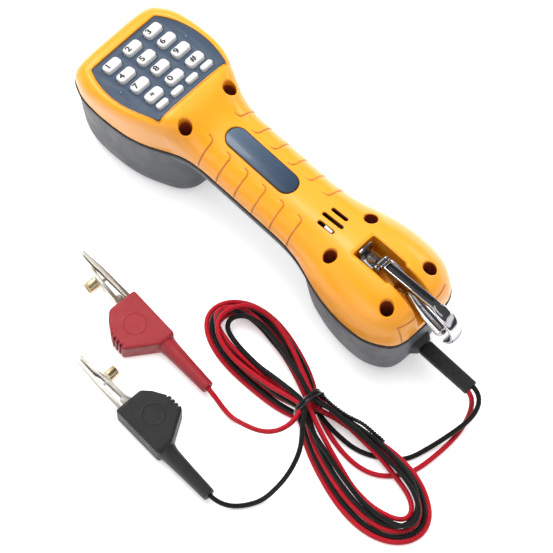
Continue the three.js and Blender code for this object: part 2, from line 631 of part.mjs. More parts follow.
function makeSnapGate() {
  const knuckle = onEdge(polygon([[GATE_PIN.x - 2.2, GATE_PIN.z - 2.4],
    [GATE_PIN.x + 7, GATE_PIN.z - 6.4], [GATE_PIN.x + 7, GATE_PIN.z], [GATE_PIN.x - 2.2, GATE_PIN.z + 2.6]]),
  SPINE_INSIDE - GAP);
  const leaf = onEdge(polygon([...GATE_OUTER, ...GATE_INNER]), HOOK_BOW_HALF - 0.4);
  const clear = solid(box(0, GATE_PIN.x + 3.6, -9, 9, -30, 9));
  return join(knuckle, cut(leaf, clear));
}

function addBeltHook() {
  add('clip_bracket', makeBracket(), 'chrome');
  add('clip_screw', makeClipScrew(), 'steel');
  const folding = new THREE.Group();
  folding.position.copy(HOOK_TURN);
  group.add(folding);
  const barrel = cut(
    join(solid(alongY(2.7, -2.7, 2.7)), solid(alongX(SHANK_RADIUS, 2, SHANK_END.to + 1)),
      solid(alongX(SPINE_INSIDE - 0.1, SHANK_END.to + GAP, SHANK_END.to + 1.8))),
    solid(alongY(PIN_RADIUS + 0.25, -5, 5)),
  );
  add('clip_swivel', barrel, 'chrome', folding);
  add('snap_hook', makeSnapHook(), 'chrome', folding);
  add('snap_gate', makeSnapGate(), 'chrome', folding);
}

// ---------------------------------------------------------------- leads

function tube(route) {
  const curve = new THREE.CatmullRomCurve3(route.map((p) => new THREE.Vector3(...p)));
  const section = new THREE.Shape(Array.from({ length: LEAD_SIDES }, (_, i) => {
    const angle = (2 * Math.PI * i) / LEAD_SIDES;
    return new THREE.Vector2(LEAD_RADIUS * Math.cos(angle), LEAD_RADIUS * Math.sin(angle));
  }));
  const steps = Math.round(curve.getLength() / (2.5 * 2 * LEAD_RADIUS));
  return new THREE.ExtrudeGeometry(section, { steps, extrudePath: curve, bevelEnabled: false });
}

// One half of the hank's outline: a teardrop that starts and ends beside the tie.
function lobe({ length, half }, toward) {
  const points = [];
  const steps = 14;
  for (let i = 0; i <= steps; i += 1) {
    const angle = (Math.PI * 2 * i) / steps - Math.PI;
    const along = (length * (1 + Math.cos(angle))) / 2;
    const wide = half * Math.sin(angle) * Math.abs(Math.cos(angle / 2)) ** 0.7 * 1.16;
    points.push([toward * along, toward * Math.sign(wide) * Math.max(Math.abs(wide), along < 1 ? 0 : HANK.neck)]);
  }
  return points.filter(([x]) => Math.abs(x) > 6);
}

function hankOutline() {
  const tips = (side) => side.map(([x, y]) => (Math.abs(y) < HANK.neck + 0.01 && Math.abs(x) > 60
    ? [x, 0] : [x, y]));
  const neck = (x, y) => [x, y * HANK.neck];
  return polygon([neck(5, -1), ...tips(lobe(HANK.cord_lobe, 1)), neck(5, 1),
    neck(-5, 1), ...tips(lobe(HANK.ear_lobe, -1)), neck(-5, -1)]);
}

function addLeads() {
  const flange = loftSolid([[FLANGE.base, FLANGE.base_half, 9], [FLANGE.base + 5, FLANGE.base_half - 1.6, 7],
    [FLANGE.neck, FLANGE.neck_half, 4]].map(([x, half, high]) => [[half, high], [-half, high],
    [-half, -high], [half, -high]].map(([y, z]) => new THREE.Vector3(x, y, FLANGE.z + z))));
  const plug = solid(box(CORD_END - 12, FLANGE.neck - 2, -5.6, 5.6, FLANGE.z - 3.6, FLANGE.z + 3.6));
  add('cord_flange', join(cut(flange, cupSkin(MOUTH_CUP, -GAP, 0, 12, MOUTH_LEVELS)), plug), 'rubber_black');
  const sleeve = plate(roundedRectangle(SLEEVE.height, SLEEVE.width, 1.6), 0, SLEEVE.to - SLEEVE.from, 3)
    .rotateY(Math.PI / 2).translate(SLEEVE.from, 0, SLEEVE.z);
  add('strain_relief', sleeve, 'rubber_black');
  add('red_lead_start', tube(RED_START_ROUTE), 'lead_red');
  add('black_lead_start', tube(BLACK_START_ROUTE), 'lead_black');
  add('red_lead_end', tube(RED_END_ROUTE), 'lead_red');
  add('black_lead_end', tube(BLACK_END_ROUTE), 'lead_black');
  const hank = new THREE.Group();
  hank.position.set(HANK.x, HANK.y, 0);
  hank.rotation.z = HANK.turn;
  group.add(hank);
  add('lead_hank', plate(hankOutline(), 0.1, HANK.height, 4), 'lead_black', hank);
  const bandHalf = HANK.neck + GAP;
  const band = cut(
    solid(box(-1.6, 1.6, -bandHalf - 1, bandHalf + 1, 0.1, HANK.height + GAP + 1)),
    solid(box(-5, 5, -bandHalf, bandHalf, -5, HANK.height + GAP)),
  );
  add('hank_tie', band, 'tie_black', hank);
}

// ---------------------------------------------------------------- clips

// A clip lies flat. In its own frame +X runs from the jaws to the lead and the boot's bulge is on the -Y side.
const BOOT = [[-15.5, 12.7], [-15.5, -6], [-11, -10.4], [-1, -16.4], [9, -16.4], [19.5, 1.4], [24, 1.9],
  [57, 2.6], [57, 10.4], [24, 11.8], [20, 12.7]];
const JAW_Z = { low: 4.4, high: 9.4 };
const JAW_PIVOT = [-12.4, 4.6];
const JAW_SHEET = 0.9;
const FIXED_JAW = [[-55.5, 3.4], [-55.5, 5.4], [-42, 5.3], [-38, 4.2], [-19, 3.4], [-15, 1.4], [-2, 1.4],
  [-2, -0.4], [-15.6, -0.6], [-20, 1.2], [-38, 1.9], [-43, 3.2]];
const MOVING_JAW = [[-55.5, 5.9], [-55.5, 8], [-40, 9.4], [-15, 10.2], [4, 7.2], [4, 5.2], [-14, 7.8],
  [-19, 7.4], [-38, 6.6], [-43, 6.2]];

function flat(points, side, z0, z1) {
  const mirrored = points.map(([x, y]) => [x, side * y]);
  return plate(polygon(side > 0 ? mirrored : mirrored.reverse()), z0, z1);
}

function makeBoot(side) {
  const body = solid(new THREE.ExtrudeGeometry(
    polygon(side > 0 ? BOOT : BOOT.map(([x, y]) => [x, -y]).reverse()), {
      depth: CLIP_THICK - 3,
      bevelEnabled: true,
      bevelThickness: 1.5,
      bevelSize: 1.5,
      bevelOffset: -1.5,
      bevelSegments: 1,
    }).translate(0, 0, 1.5));
  const cavity = solid(flat([[-20, 11.4], [-20, -1.6], [-12, -2.4], [-4, -3], [7, -3], [7, 10.6], [-4, 11.4]],
    side, 3, CLIP_THICK - 2.8));
  return cut(body, cavity);
}

function jawHole() {
  return solid(cylinder(JAW_PIVOT[0], 0, -5, 20, 1.3, 10));
}

function addClip(colour, { x, y, turn, side }) {
  const clip = new THREE.Group();
  clip.position.set(x, y, 0);
  clip.rotation.z = turn;
  group.add(clip);
  const lug = (reach, z0, z1) => solid(box(JAW_PIVOT[0] - 2.6, JAW_PIVOT[0] + 2.6,
    Math.min(side * reach, side * JAW_PIVOT[1]) - 0.6, Math.max(side * reach, side * JAW_PIVOT[1]) + 0.6, z0, z1));
  const pinHole = jawHole().translate([0, side * JAW_PIVOT[1], 0]);
  const hollow = (points, open) => solid(flat(points, side, JAW_Z.low + JAW_SHEET, JAW_Z.high - JAW_SHEET)
    .translate(0, side * open, 0));
  const fixed = join(
    cut(solid(flat(FIXED_JAW, side, JAW_Z.low, JAW_Z.high)), hollow(FIXED_JAW, JAW_SHEET)),
    lug(-0.2, JAW_Z.low + JAW_SHEET + 1.2, JAW_Z.high - JAW_SHEET - 1.2),
  );
  const moving = join(
    cut(solid(flat(MOVING_JAW, side, JAW_Z.low, JAW_Z.high)), hollow(MOVING_JAW, -JAW_SHEET)),
    lug(8.4, JAW_Z.low, JAW_Z.low + JAW_SHEET),
    lug(8.4, JAW_Z.high - JAW_SHEET, JAW_Z.high),
  );
  add(`${colour}_clip_boot`, makeBoot(side), `boot_${colour}`, clip);
  add(`${colour}_fixed_jaw`, cut(fixed, pinHole), 'nickel', clip);
  add(`${colour}_moving_jaw`, cut(moving, pinHole), 'nickel', clip);
  const pin = cylinder(JAW_PIVOT[0], side * JAW_PIVOT[1], JAW_Z.low, JAW_Z.high, 1, 10);
  add(`${colour}_jaw_pin`, pin, 'steel', clip);
  const nails = new THREE.CylinderGeometry(3.5, 3.5, 6.6, 18)
    .translate(-36, side * (1.9 - GAP - 3.3 - 0.6), (JAW_Z.low + JAW_Z.high) / 2);
  add(`${colour}_nail_bed`, nails, 'brass', clip);
}

addCasing();
addKeypad();
addBeltHook();
addLeads();
addClip('red', CLIPS.red);
addClip('black', CLIPS.black);
group.position.x = -(EAR_END - GASKET_PROUD + HOOK_END) / 2;
group.updateMatrixWorld(true);

export default group;
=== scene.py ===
"""The looks of a telephone line test handset with two hanked leads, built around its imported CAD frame.

Every piece is modelled in millimetres along the handset: X from the ear end to the cord end, Y across, Z up
from the floor. settle() turns a piece into metres in the frame's own place, and lets it ride on its body.
"""
import math
from contextlib import contextmanager

import bmesh
import bpy
import numpy as np
from mathutils import Matrix, Vector


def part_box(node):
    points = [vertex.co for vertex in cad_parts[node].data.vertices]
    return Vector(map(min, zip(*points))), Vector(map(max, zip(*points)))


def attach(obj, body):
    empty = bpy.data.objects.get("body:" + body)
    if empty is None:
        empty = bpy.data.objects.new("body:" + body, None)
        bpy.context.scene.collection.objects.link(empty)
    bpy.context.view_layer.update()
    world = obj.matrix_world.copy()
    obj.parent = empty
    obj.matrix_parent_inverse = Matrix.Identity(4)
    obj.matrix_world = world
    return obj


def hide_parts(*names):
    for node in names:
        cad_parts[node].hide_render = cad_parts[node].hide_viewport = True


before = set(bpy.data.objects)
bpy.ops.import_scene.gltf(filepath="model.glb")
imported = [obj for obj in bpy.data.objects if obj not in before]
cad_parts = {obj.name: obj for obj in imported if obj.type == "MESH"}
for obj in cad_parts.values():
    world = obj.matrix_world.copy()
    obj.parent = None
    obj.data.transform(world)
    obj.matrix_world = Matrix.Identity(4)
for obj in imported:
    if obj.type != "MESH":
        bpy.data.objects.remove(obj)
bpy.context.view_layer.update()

MM = 0.001
GAP = 0.3                                    # between parts that fit into each other
EAR_END, CORD_END = -128.5, 126.5
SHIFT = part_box("upper_shell")[0].x / MM - EAR_END       # from the handset's own X to the frame's

WALL = 2.6                                   # of both shells
GASKET_HALF = 1.3                            # half its height, between the shells
GASKET_PROUD = 0.6                           # how far it stands out from them
# The handset's curves along X, as (place, value) pairs. The last is the power of its rounded section.
HALF_WIDTH = [(EAR_END, 20), (-127.6, 27), (-122, 34), (-112, 37.6), (-98, 38.4), (-80, 37.3), (-66, 34.2),
              (-52, 27.8), (-40, 23.8), (-24, 22.8), (30, 22.8), (42, 23.4), (54, 26), (66, 29.8),
              (78, 32.6), (92, 33.8), (104, 33.4), (114, 30.8), (121, 26), (125.2, 20), (CORD_END, 14)]
TOP = [(EAR_END, 56.5), (-127.6, 60), (-125, 63.4), (-120, 66.4), (-92, 75.4), (-62, 84.4), (-56, 85),
       (-50, 83.2), (-42, 78.8), (-34, 75.6), (-24, 74.4), (0, 74), (20, 74.4), (40, 76), (55, 78.2),
       (68, 81), (80, 83.4), (92, 84.2), (105, 83.5), (114, 81.3), (120, 77.5), (124, 71.5), (126, 65),
       (CORD_END, 62)]
PARTING = [(EAR_END, 50), (-92, 51), (-60, 52.6), (-34, 55.4), (0, 56), (40, 56), (60, 54.6), (90, 53),
           (CORD_END, 52)]
UNDERSIDE = [(EAR_END, 44), (-80, 40), (-40, 36), (0, 35), (40, 36), (80, 40), (CORD_END, 46)]
SQUARENESS = [(EAR_END, 4), (-108, 5.6), (-60, 7), (-47, 3.8), (-34, 2.2), (30, 2.05), (70, 2.1),
              (CORD_END, 2.4)]
EAR_CUP = {"from": EAR_END, "to": -39, "insets": [(0, 8), (1.5, 5.4), (5, 3.4), (12, 2.2), (52, 0.2)]}
MOUTH_CUP = {"from": 46, "to": CORD_END, "insets": [(0, 12), (1.5, 9.4), (5, 7), (14, 4.8), (56, 0.2)]}
CUP_CORNER = 12

PAD_TILT = math.radians(17)
PAD_ORIGIN = Vector((-91.2, 0, 73.4))
PAD_FROM, PAD_TO = -27, 33
PAD_HALF = {"ear": 25, "middle": 32, "handle": 26.4}
KEY_PITCH = {"across": 16.2, "along": 12.2}
KEY = {"across": 11.5, "along": 7, "corner": 2.4, "proud": 3}
FUNCTION_KEY = {"across": 8.5, "along": 4, "corner": 1.9, "proud": 2.4}
FUNCTION_ROW, FUNCTION_PITCH = 26.9, 11.65
KEY_BOTTOM = -3.2
LAMP_SIDE = 26

SCREWS = [(-47.2, -17.6), (-47.2, 17.6), (66.8, -16.4), (66.8, 16.4), (111.6, -17.2), (111.6, 17.2)]
WELL_RADIUS = 4
LABEL = {"from": -23, "to": 16.5, "half": 7, "thick": 1.2, "top": 74.5}
SLOT_X, SLOT_WIDTH = 52.9, 2.4
SLOTS = [(-5.5, 12.5), (0, 16), (5.5, 12.5)]
RECESS = {"from": 76.5, "to": 102, "half": 8.3, "floor": 64}
CHANNEL = {"half": 7, "floor": 58.5}
GUTTER_LAP = 3                             # the channel's floor runs back this far under the recess
HOOK_TURN = Vector((91, 0, 78))
FLANGE = {"base": 116, "base_half": 10.4, "neck": 127, "neck_half": 4.9, "z": 22.4}
SLEEVE = {"from": 127.4, "to": 163.4, "width": 9.4, "height": 5, "z": 22}

LEAD_RADIUS = 1.5
FLOOR_LEAD_Z = 1.65


def at_height(z, *places):
    return [(x, y, z) for x, y in places]


# Each lead's way from the sleeve to the hank, and from the hank to its clip.
RED_START_ROUTE = [(164.3, -1.9, 22), (166.6, -2.3, 20.8), (169, -4.2, 14.6), (170.9, -9, 6.5),
                   *at_height(FLOOR_LEAD_Z, (172.6, -20), (172.6, -36), (170.6, -52.2))]
BLACK_START_ROUTE = [(164.3, 1.9, 22), (166.8, 1.8, 21.8), (170.6, 0.6, 19.8), (173.4, -4.4, 15.8),
                     (173.4, -12, 10.6), (170.4, -24, 5.6),
                     *at_height(FLOOR_LEAD_Z, (166, -39.5), (162.2, -50.9))]
RED_END_ROUTE = [*at_height(FLOOR_LEAD_Z, (106.2, -82.6), (106.4, -87.4), (103, -95.6), (94.6, -101),
                            (80, -102.6)), (68, -102, 2.4), (60.4, -101.2, 5.6), (54.4, -100.5, 7)]
BLACK_END_ROUTE = [*at_height(FLOOR_LEAD_Z, (112.6, -84.2), (117, -88.4), (122.4, -97), (125.2, -111),
                              (122.6, -125), (117.6, -135)), (111.4, -142, 2.6), (106.6, -144.9, 5.6),
                   (102, -145.9, 7)]
HANK = {"x": 104, "y": -69.5, "turn": math.radians(-5)}
CLIP_THICK = 13.6
CLIPS = {"red": {"x": -3.7, "y": -103, "turn": math.radians(-3.8), "side": 1},
         "black": {"x": 44.2, "y": -136.8, "turn": math.radians(-2.4), "side": -1}}


# ---------------------------------------------------------------- helpers

def ramp(value, low, high):
    """0 below low, 1 above high, and a smooth step between."""
    t = np.clip((np.asarray(value, float) - low) / (high - low), 0, 1)
    return t * t * (3 - 2 * t)


def smooth(pairs):
    """A smooth curve through (x, value) pairs that never overshoots them, for arrays of x."""
    x, v = np.array(pairs, float).T
    slopes = np.diff(v) / np.diff(x)
    tangents = np.concatenate([[slopes[0]], np.zeros(len(slopes) - 1), [slopes[-1]]])
    for i in range(1, len(slopes)):
        product = slopes[i - 1] * slopes[i]
        if product > 0:
            tangents[i] = 2 * product / (slopes[i - 1] + slopes[i])

    def at(where):
        where = np.asarray(where, float)
        i = np.clip(np.searchsorted(x, where) - 1, 0, len(x) - 2)
        width = x[i + 1] - x[i]
        t = np.clip((where - x[i]) / width, 0, 1)
        rest = 1 - t
        return ((1 + 2 * t) * rest * rest * v[i] + t * rest * rest * width * tangents[i]
                + t * t * (3 - 2 * t) * v[i + 1] - t * t * rest * width * tangents[i + 1])
    return at


def bell(reach, spread, step=1.0):
    """Gaussian weights from -reach to reach."""
    weights = np.exp(-0.5 * (np.arange(-reach, reach + step / 2, step) / spread) ** 2)
    return weights / weights.sum()


def faired(pairs, spread=5.0, ends=14.0, step=0.5):
    """smooth(), with its changes of slope eased away from both ends, for an even gloss."""
    raw = smooth(pairs)
    x = np.arange(EAR_END - 30, CORD_END + 30, step)
    kernel = bell(3 * spread, spread, step)
    eased = np.convolve(np.pad(raw(x), len(kernel) // 2, mode="edge"), kernel, mode="valid")

    def at(where):
        where = np.asarray(where, float)
        share = ramp(np.minimum(where - EAR_END, CORD_END - where), 2, ends)
        return (1 - share) * raw(where) + share * np.interp(where, x, eased[:len(x)])
    return at


half_width_at = faired(HALF_WIDTH)
top_at = faired(TOP)
parting_at = faired(PARTING)
underside_at = faired(UNDERSIDE)
squareness_at = faired(SQUARENESS)


def new_object(name, mesh):
    piece = bpy.data.objects.new(name, mesh)
    bpy.context.scene.collection.objects.link(piece)
    return piece


@contextmanager
def edited(mesh):
    """A mesh opened for editing, and written back at the end."""
    work = bmesh.new()
    work.from_mesh(mesh)
    yield work
    work.to_mesh(mesh)
    work.free()


def outward(piece):
    """Turns a closed piece's faces outward."""
    with edited(piece.data) as work:
        bmesh.ops.recalc_face_normals(work, faces=work.faces)
    return piece


def mesh_piece(name, vertices, faces):
    mesh = bpy.data.meshes.new(name)
    mesh.from_pydata([tuple(map(float, v)) for v in vertices], [], [tuple(map(int, f)) for f in faces])
    return outward(new_object(name, mesh))


def loft(name, rings, closed=False):
    """A skin through rings, an array of (ring, point, xyz), capped at both ends or closed on itself."""
    rings = np.asarray(rings, float)
    count, points = rings.shape[:2]
    i, j = np.meshgrid(np.arange(count if closed else count - 1), np.arange(points), indexing="ij")
    next_i, next_j = (i + 1) % count, (j + 1) % points
    corners = [i * points + j, i * points + next_j, next_i * points + next_j, next_i * points + j]
    faces = np.stack(corners, axis=-1).reshape(-1, 4).tolist()
    if not closed:
        faces += [list(range(points)), list(range((count - 1) * points, count * points))]
    return mesh_piece(name, rings.reshape(-1, 3), faces)


def worked_out(piece):
    """The piece's mesh, with its modifiers or its curve worked out."""
    depsgraph = bpy.context.evaluated_depsgraph_get()
    return bpy.data.meshes.new_from_object(piece.evaluated_get(depsgraph))


def modified(piece, kind, **settings):
    """Gives the piece a modifier and bakes it into the mesh."""
    step = piece.modifiers.new(kind, kind)
    for name, value in settings.items():
        setattr(step, name, value)
    baked = worked_out(piece)
    piece.modifiers.clear()
    piece.data = baked
    return piece


def boolean(piece, operation, *others):
    for other in others:
        modified(piece, "BOOLEAN", operation=operation, solver="MANIFOLD", object=other)
        bpy.data.objects.remove(other)
    return piece


def cut(piece, *others):
    return boolean(piece, "DIFFERENCE", *others)


def join(piece, *others):
    return boolean(piece, "UNION", *others)


def meet(piece, *others):
    return boolean(piece, "INTERSECT", *others)


def remesh(piece, size, rounds):
    """Makes one even skin, with its sharp edges rounded a little."""
    modified(piece, "REMESH", mode="VOXEL", voxel_size=size)
    return modified(piece, "SMOOTH", factor=0.5, iterations=rounds)


def bevel(piece, width, segments=3, angle=35):
    return modified(piece, "BEVEL", width=width, segments=segments, limit_method="ANGLE",
                    angle_limit=math.radians(angle))


def box(x0, x1, y0, y1, z0, z1):
    corners = [(x, y, z) for x in (x0, x1) for y in (y0, y1) for z in (z0, z1)]
    faces = [(0, 1, 3, 2), (4, 6, 7, 5), (0, 4, 5, 1), (2, 3, 7, 6), (0, 2, 6, 4), (1, 5, 7, 3)]
    return mesh_piece("box", corners, faces)


def sheet_box(*sides, edge=0.25):
    return bevel(box(*sides), edge, 2)


def turned(profile, sides=32, centre=(0, 0, 0), axis="Z"):
    """A closed turned piece: profile is (radius, height) pairs from axis to axis."""
    angle = np.linspace(0, 2 * math.pi, sides, endpoint=False)
    piece = loft("turned", [[(r * math.cos(a), r * math.sin(a), h) for a in angle] for r, h in profile])
    turn = {"Z": Matrix.Identity(4), "X": Matrix.Rotation(math.pi / 2, 4, "Y"),
            "Y": Matrix.Rotation(-math.pi / 2, 4, "X")}[axis]
    piece.data.transform(Matrix.Translation(centre) @ turn)
    return piece


def rod(radius, start, end, sides, centre=(0, 0, 0), axis="Z"):
    return turned([(radius, start), (radius, end)], sides, centre, axis)


def cylinder(x, y, z0, z1, radius, sides=32):
    return rod(radius, z0, z1, sides, (x, y, 0))


def both_ways(end):
    """A pin's whole profile, from the profile of one of its two like ends."""
    return [(radius, -height) for radius, height in end] + end[::-1]


def arc(x, y, radius, start, end, count=8):
    """Points along an arc, in degrees."""
    angles = np.radians(np.linspace(start, end, count + 1))
    return [(x + radius * math.cos(a), y + radius * math.sin(a)) for a in angles]


def rounded_rectangle(width, height, corner, count=6):
    x, y = width / 2 - corner, height / 2 - corner
    return (arc(x, -y, corner, -90, 0, count) + arc(x, y, corner, 0, 90, count)
            + arc(-x, y, corner, 90, 180, count) + arc(-x, -y, corner, 180, 270, count))


def stadium(start, end, half, count=14):
    return arc(end, 0, half, -90, 90, count) + arc(start, 0, half, 90, 270, count)


def add_line(curve, points, cyclic=False):
    spline = curve.splines.new("POLY")
    spline.points.add(len(points) - 1)
    for point, place in zip(spline.points, points):
        point.co = (*map(float, place), 1)
    spline.use_cyclic_u = cyclic
    return spline


def tube(name, points, radius, resolution):
    """A curve of one open spline that is as thick as its radius."""
    curve = bpy.data.curves.new(name, "CURVE")
    curve.dimensions = "3D"
    curve.bevel_depth = radius
    curve.bevel_resolution = resolution
    curve.use_fill_caps = True
    add_line(curve, points)
    return curve


def solid_from(curve, weld):
    """A closed mesh made from a curve or a text."""
    carrier = new_object("carrier", curve)
    mesh = worked_out(carrier)
    bpy.data.objects.remove(carrier)
    with edited(mesh) as work:
        bmesh.ops.remove_doubles(work, verts=work.verts, dist=weld)
    return mesh


def flat_piece(loops, low, high):
    """A flat plate from low to high: the first loop is its outline, the others are holes."""
    curve = bpy.data.curves.new("flat", "CURVE")
    curve.dimensions = "2D"
    curve.fill_mode = "BOTH"
    curve.extrude = (high - low) / 2
    for loop in loops:
        add_line(curve, [(x, y, 0) for x, y in loop], cyclic=True)
    mesh = solid_from(curve, 1e-4)
    mesh.transform(Matrix.Translation((0, 0, (low + high) / 2)))
    return outward(new_object("flat", mesh))


def on_edge(outline, half, edge=0.3):
    """A plate that stands on edge: its outline lies in X and Z, and it is thick along Y."""
    plate = flat_piece([outline], -half, half)
    plate.data.transform(Matrix.Rotation(math.pi / 2, 4, "X"))
    return bevel(plate, edge) if edge else plate


def merge(*parts):
    """Puts closed shells into one piece, each with its own material if it has one."""
    work = bmesh.new()
    looks = []
    for part in parts:
        start = len(work.faces)
        work.from_mesh(part.data)
        work.faces.ensure_lookup_table()
        looks += [look for look in part.data.materials[:1] if look and look not in looks]
        for face in work.faces[start:]:
            face.material_index = looks.index(part.data.materials[0]) if looks else 0
        bpy.data.objects.remove(part)
    mesh = bpy.data.meshes.new("merged")
    work.to_mesh(mesh)
    work.free()
    for look in looks:
        mesh.materials.append(look)
    return new_object("merged", mesh)


def shade(piece, angle):
    """Smooth shading, but for edges sharper than the angle."""
    for polygon in piece.data.polygons:
        polygon.use_smooth = True
    with edited(piece.data) as work:
        for edge in work.edges:
            edge.smooth = len(edge.link_faces) == 2 and edge.calc_face_angle(0) < math.radians(angle)


def slot_of(look):
    """A material's slot: its name, less the number that Blender adds to a name in use."""
    return look.name.split(".")[0]


def settle(piece, name, look, *replaced, body="handset", angle=40):
    """Moves a finished piece from the handset's millimetres to the frame, and lets it ride on its body."""
    piece.name = name
    piece.data.transform(Matrix.Scale(MM, 4) @ Matrix.Translation((SHIFT, 0, 0)))
    shade(piece, angle)
    if not any(piece.data.materials):
        piece.data.materials.clear()
        piece.data.materials.append(look)
    SLOT_OF.get(name, slot_of(look))
    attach(piece, body)
    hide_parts(*replaced)


# ---------------------------------------------------------------- materials

SHADE_MARK = "painted_shade"                           # the mesh attribute that tells where shade is painted: in recesses, along grooves, and on the label


def feed(tree, socket, value):
    """Writes a value into a socket, or links another node's output to it."""
    if isinstance(value, bpy.types.NodeSocket):
        tree.links.new(value, socket)
    else:
        socket.default_value = value


def feed_all(tree, node, sockets):
    for name, value in sockets.items():
        feed(tree, node.inputs[name.replace("_", " ")], value)


def add_node(tree, kind, settings=(), **sockets):
    """A new shader node, with its settings made before its sockets are fed."""
    node = tree.nodes.new("ShaderNode" + kind)
    for name, value in dict(settings).items():
        setattr(node, name, value)
    feed_all(tree, node, sockets)
    return node


def calculated(tree, operation, *values):
    node = add_node(tree, "Math", {"operation": operation})
    for socket, value in zip(node.inputs, values):
        feed(tree, socket, value)
    return node.outputs["Value"]


def mixed(tree, factor, a, b):
    """A mix of two colours, each a triple or a socket."""
    a, b = (c if isinstance(c, bpy.types.NodeSocket) else (*c, 1) for c in (a, b))
    return add_node(tree, "Mix", {"data_type": "RGBA"}, Factor=factor, A=a, B=b).outputs["Result"]


def bumped(tree, height, strength, distance):
    return add_node(tree, "Bump", Strength=strength, Distance=distance * MM, Height=height).outputs["Normal"]


def surface(name, color, roughness, grain=None, mottle=None, wear=None, painted_shade=None, **sockets):
    """A procedural material. grain is (size in mm, bump height in mm), mottle (size in mm, share), and wear
    (size in mm, roughness added) changes the gloss. The painted shade colour is painted in where a piece's
    mesh
    carries the shade attribute: in its recesses and along its grooves."""
    made = bpy.data.materials.new(name)
    made.use_nodes = True
    tree = made.node_tree
    shader = tree.nodes["Principled BSDF"]
    feed_all(tree, shader, {"Base_Color": (*color, 1), "Roughness": roughness, **sockets})
    place = add_node(tree, "TexCoord").outputs["Object"]

    def noise(size, detail=3.0):
        return add_node(tree, "TexNoise", Scale=1 / (size * MM), Detail=detail, Vector=place).outputs["Fac"]

    if mottle:
        size, share = mottle
        darker, lighter = ([min(1, c * (1 + change)) for c in color] for change in (-share, share))
        shown = mixed(tree, noise(size), darker, lighter)
        # painted shade, where the piece's mesh carries the shade attribute
        if painted_shade:
            shade_share = add_node(tree, "Attribute", {"attribute_name": SHADE_MARK}).outputs["Fac"]
            shown = mixed(tree, shade_share, shown, painted_shade)
        feed_all(tree, shader, {"Base_Color": shown})
    if wear:
        size, added = wear
        spread = add_node(tree, "MapRange", From_Min=0.35, From_Max=0.65, To_Min=roughness,
                          To_Max=roughness + added, Value=noise(size, 5))
        feed_all(tree, shader, {"Roughness": spread.outputs["Result"]})
    if grain:
        size, height = grain
        feed_all(tree, shader, {"Normal": bumped(tree, noise(size), 0.6, height)})
    return made


def braid(name, color, dark):
    """A finely braided lead: two crossing diagonals in its colour and bump."""
    made = surface(name, color, 0.55, Sheen_Weight=0.03, Specular_IOR_Level=0.25)
    tree = made.node_tree
    place = add_node(tree, "TexCoord").outputs["Object"]
    waves = []
    for turn in (45, -45):
        way = add_node(tree, "Mapping", Vector=place, Rotation=[math.radians(a) for a in (30, 20, turn)])
        wave = add_node(tree, "TexWave", Scale=330, Distortion=1.2, Vector=way.outputs["Vector"])
        waves.append(wave.outputs["Fac"])
    woven = calculated(tree, "MULTIPLY", *waves)
    share = add_node(tree, "MapRange", To_Min=0.35, Value=woven).outputs["Result"]
    feed_all(tree, tree.nodes["Principled BSDF"],
             {"Base_Color": mixed(tree, share, dark, color), "Normal": bumped(tree, woven, 0.5, 0.15)})
    return made


def metal(name, color, roughness, **more):
    return surface(name, color, roughness, Metallic=1, **more)


# Its darker colour is painted shade down the wells and slots and along the step lines.
YELLOW = surface("shell_yellow", (0.8, 0.31, 0.009), 0.3, grain=(0.35, 0.006), mottle=(30, 0.03),
                 wear=(9, 0.07), painted_shade=(0.34, 0.06, 0.015), Coat_Weight=0.12)
GREY = surface("shell_grey", (0.04, 0.045, 0.056), 0.42, grain=(0.4, 0.012), mottle=(20, 0.06),
               wear=(8, 0.1))
BLACK_RUBBER = surface("rubber_black", (0.013, 0.013, 0.014), 0.5, grain=(0.3, 0.02), mottle=(5, 0.15),
                       wear=(4, 0.15))
GASKET = surface("gasket_black", (0.01, 0.011, 0.013), 0.45, grain=(0.5, 0.01), wear=(5, 0.2))
PANEL_BLUE = surface("panel_blue", (0.03, 0.05, 0.085), 0.42, grain=(0.25, 0.01), mottle=(12, 0.08),
                     wear=(6, 0.1))
# The darker colour below is painted shade, darkening the label towards its cord end.
LABEL_BLUE = surface("label_blue", (0.058, 0.09, 0.135), 0.3, grain=(0.3, 0.004), mottle=(25, 0.15),
                     painted_shade=(0.02, 0.038, 0.07), Coat_Weight=0.3)
LABEL_EDGE = surface("label_edge", (0.01, 0.014, 0.02), 0.35, grain=(0.3, 0.004))
KEY_WHITE = surface("key_white", (0.6, 0.6, 0.59), 0.28, grain=(0.3, 0.004), mottle=(6, 0.02),
                    Coat_Weight=0.2)
INK = surface("ink_black", (0.006, 0.006, 0.007), 0.45, grain=(0.2, 0.004))
LAMP = surface("lamp_clear", (0.06, 0.1, 0.16), 0.15, grain=(0.8, 0.003), Transmission_Weight=0.2)
STEEL = metal("steel", (0.45, 0.45, 0.45), 0.3, grain=(0.25, 0.01), wear=(1.5, 0.15))
CHROME = metal("chrome", (0.6, 0.6, 0.62), 0.07, grain=(6, 0.008), wear=(3, 0.04),
               Specular_Tint=(0.3, 0.3, 0.32, 1))
NICKEL = metal("nickel", (0.74, 0.71, 0.64), 0.32, grain=(5, 0.003), wear=(2.5, 0.06))
BRASS = metal("brass", (0.64, 0.52, 0.32), 0.26, grain=(3, 0.003), wear=(2, 0.08))
BOOT_RED = surface("boot_red", (0.27, 0.014, 0.02), 0.45, grain=(0.5, 0.02), mottle=(7, 0.08),
                   wear=(4, 0.12))
BOOT_BLACK = surface("boot_black", (0.011, 0.011, 0.0113), 0.46, grain=(0.5, 0.02), mottle=(7, 0.12),
                     wear=(4, 0.12))
TIE_BLACK = surface("tie_black", (0.006, 0.006, 0.007), 0.18, grain=(0.8, 0.02), wear=(2, 0.1),
                    Coat_Weight=0.3)
LEAD_RED = braid("lead_red", (0.62, 0.006, 0.022), (0.14, 0.001, 0.004))
LEAD_BLACK = braid("lead_black", (0.008, 0.0075, 0.0075), (0.0015, 0.0015, 0.0015))
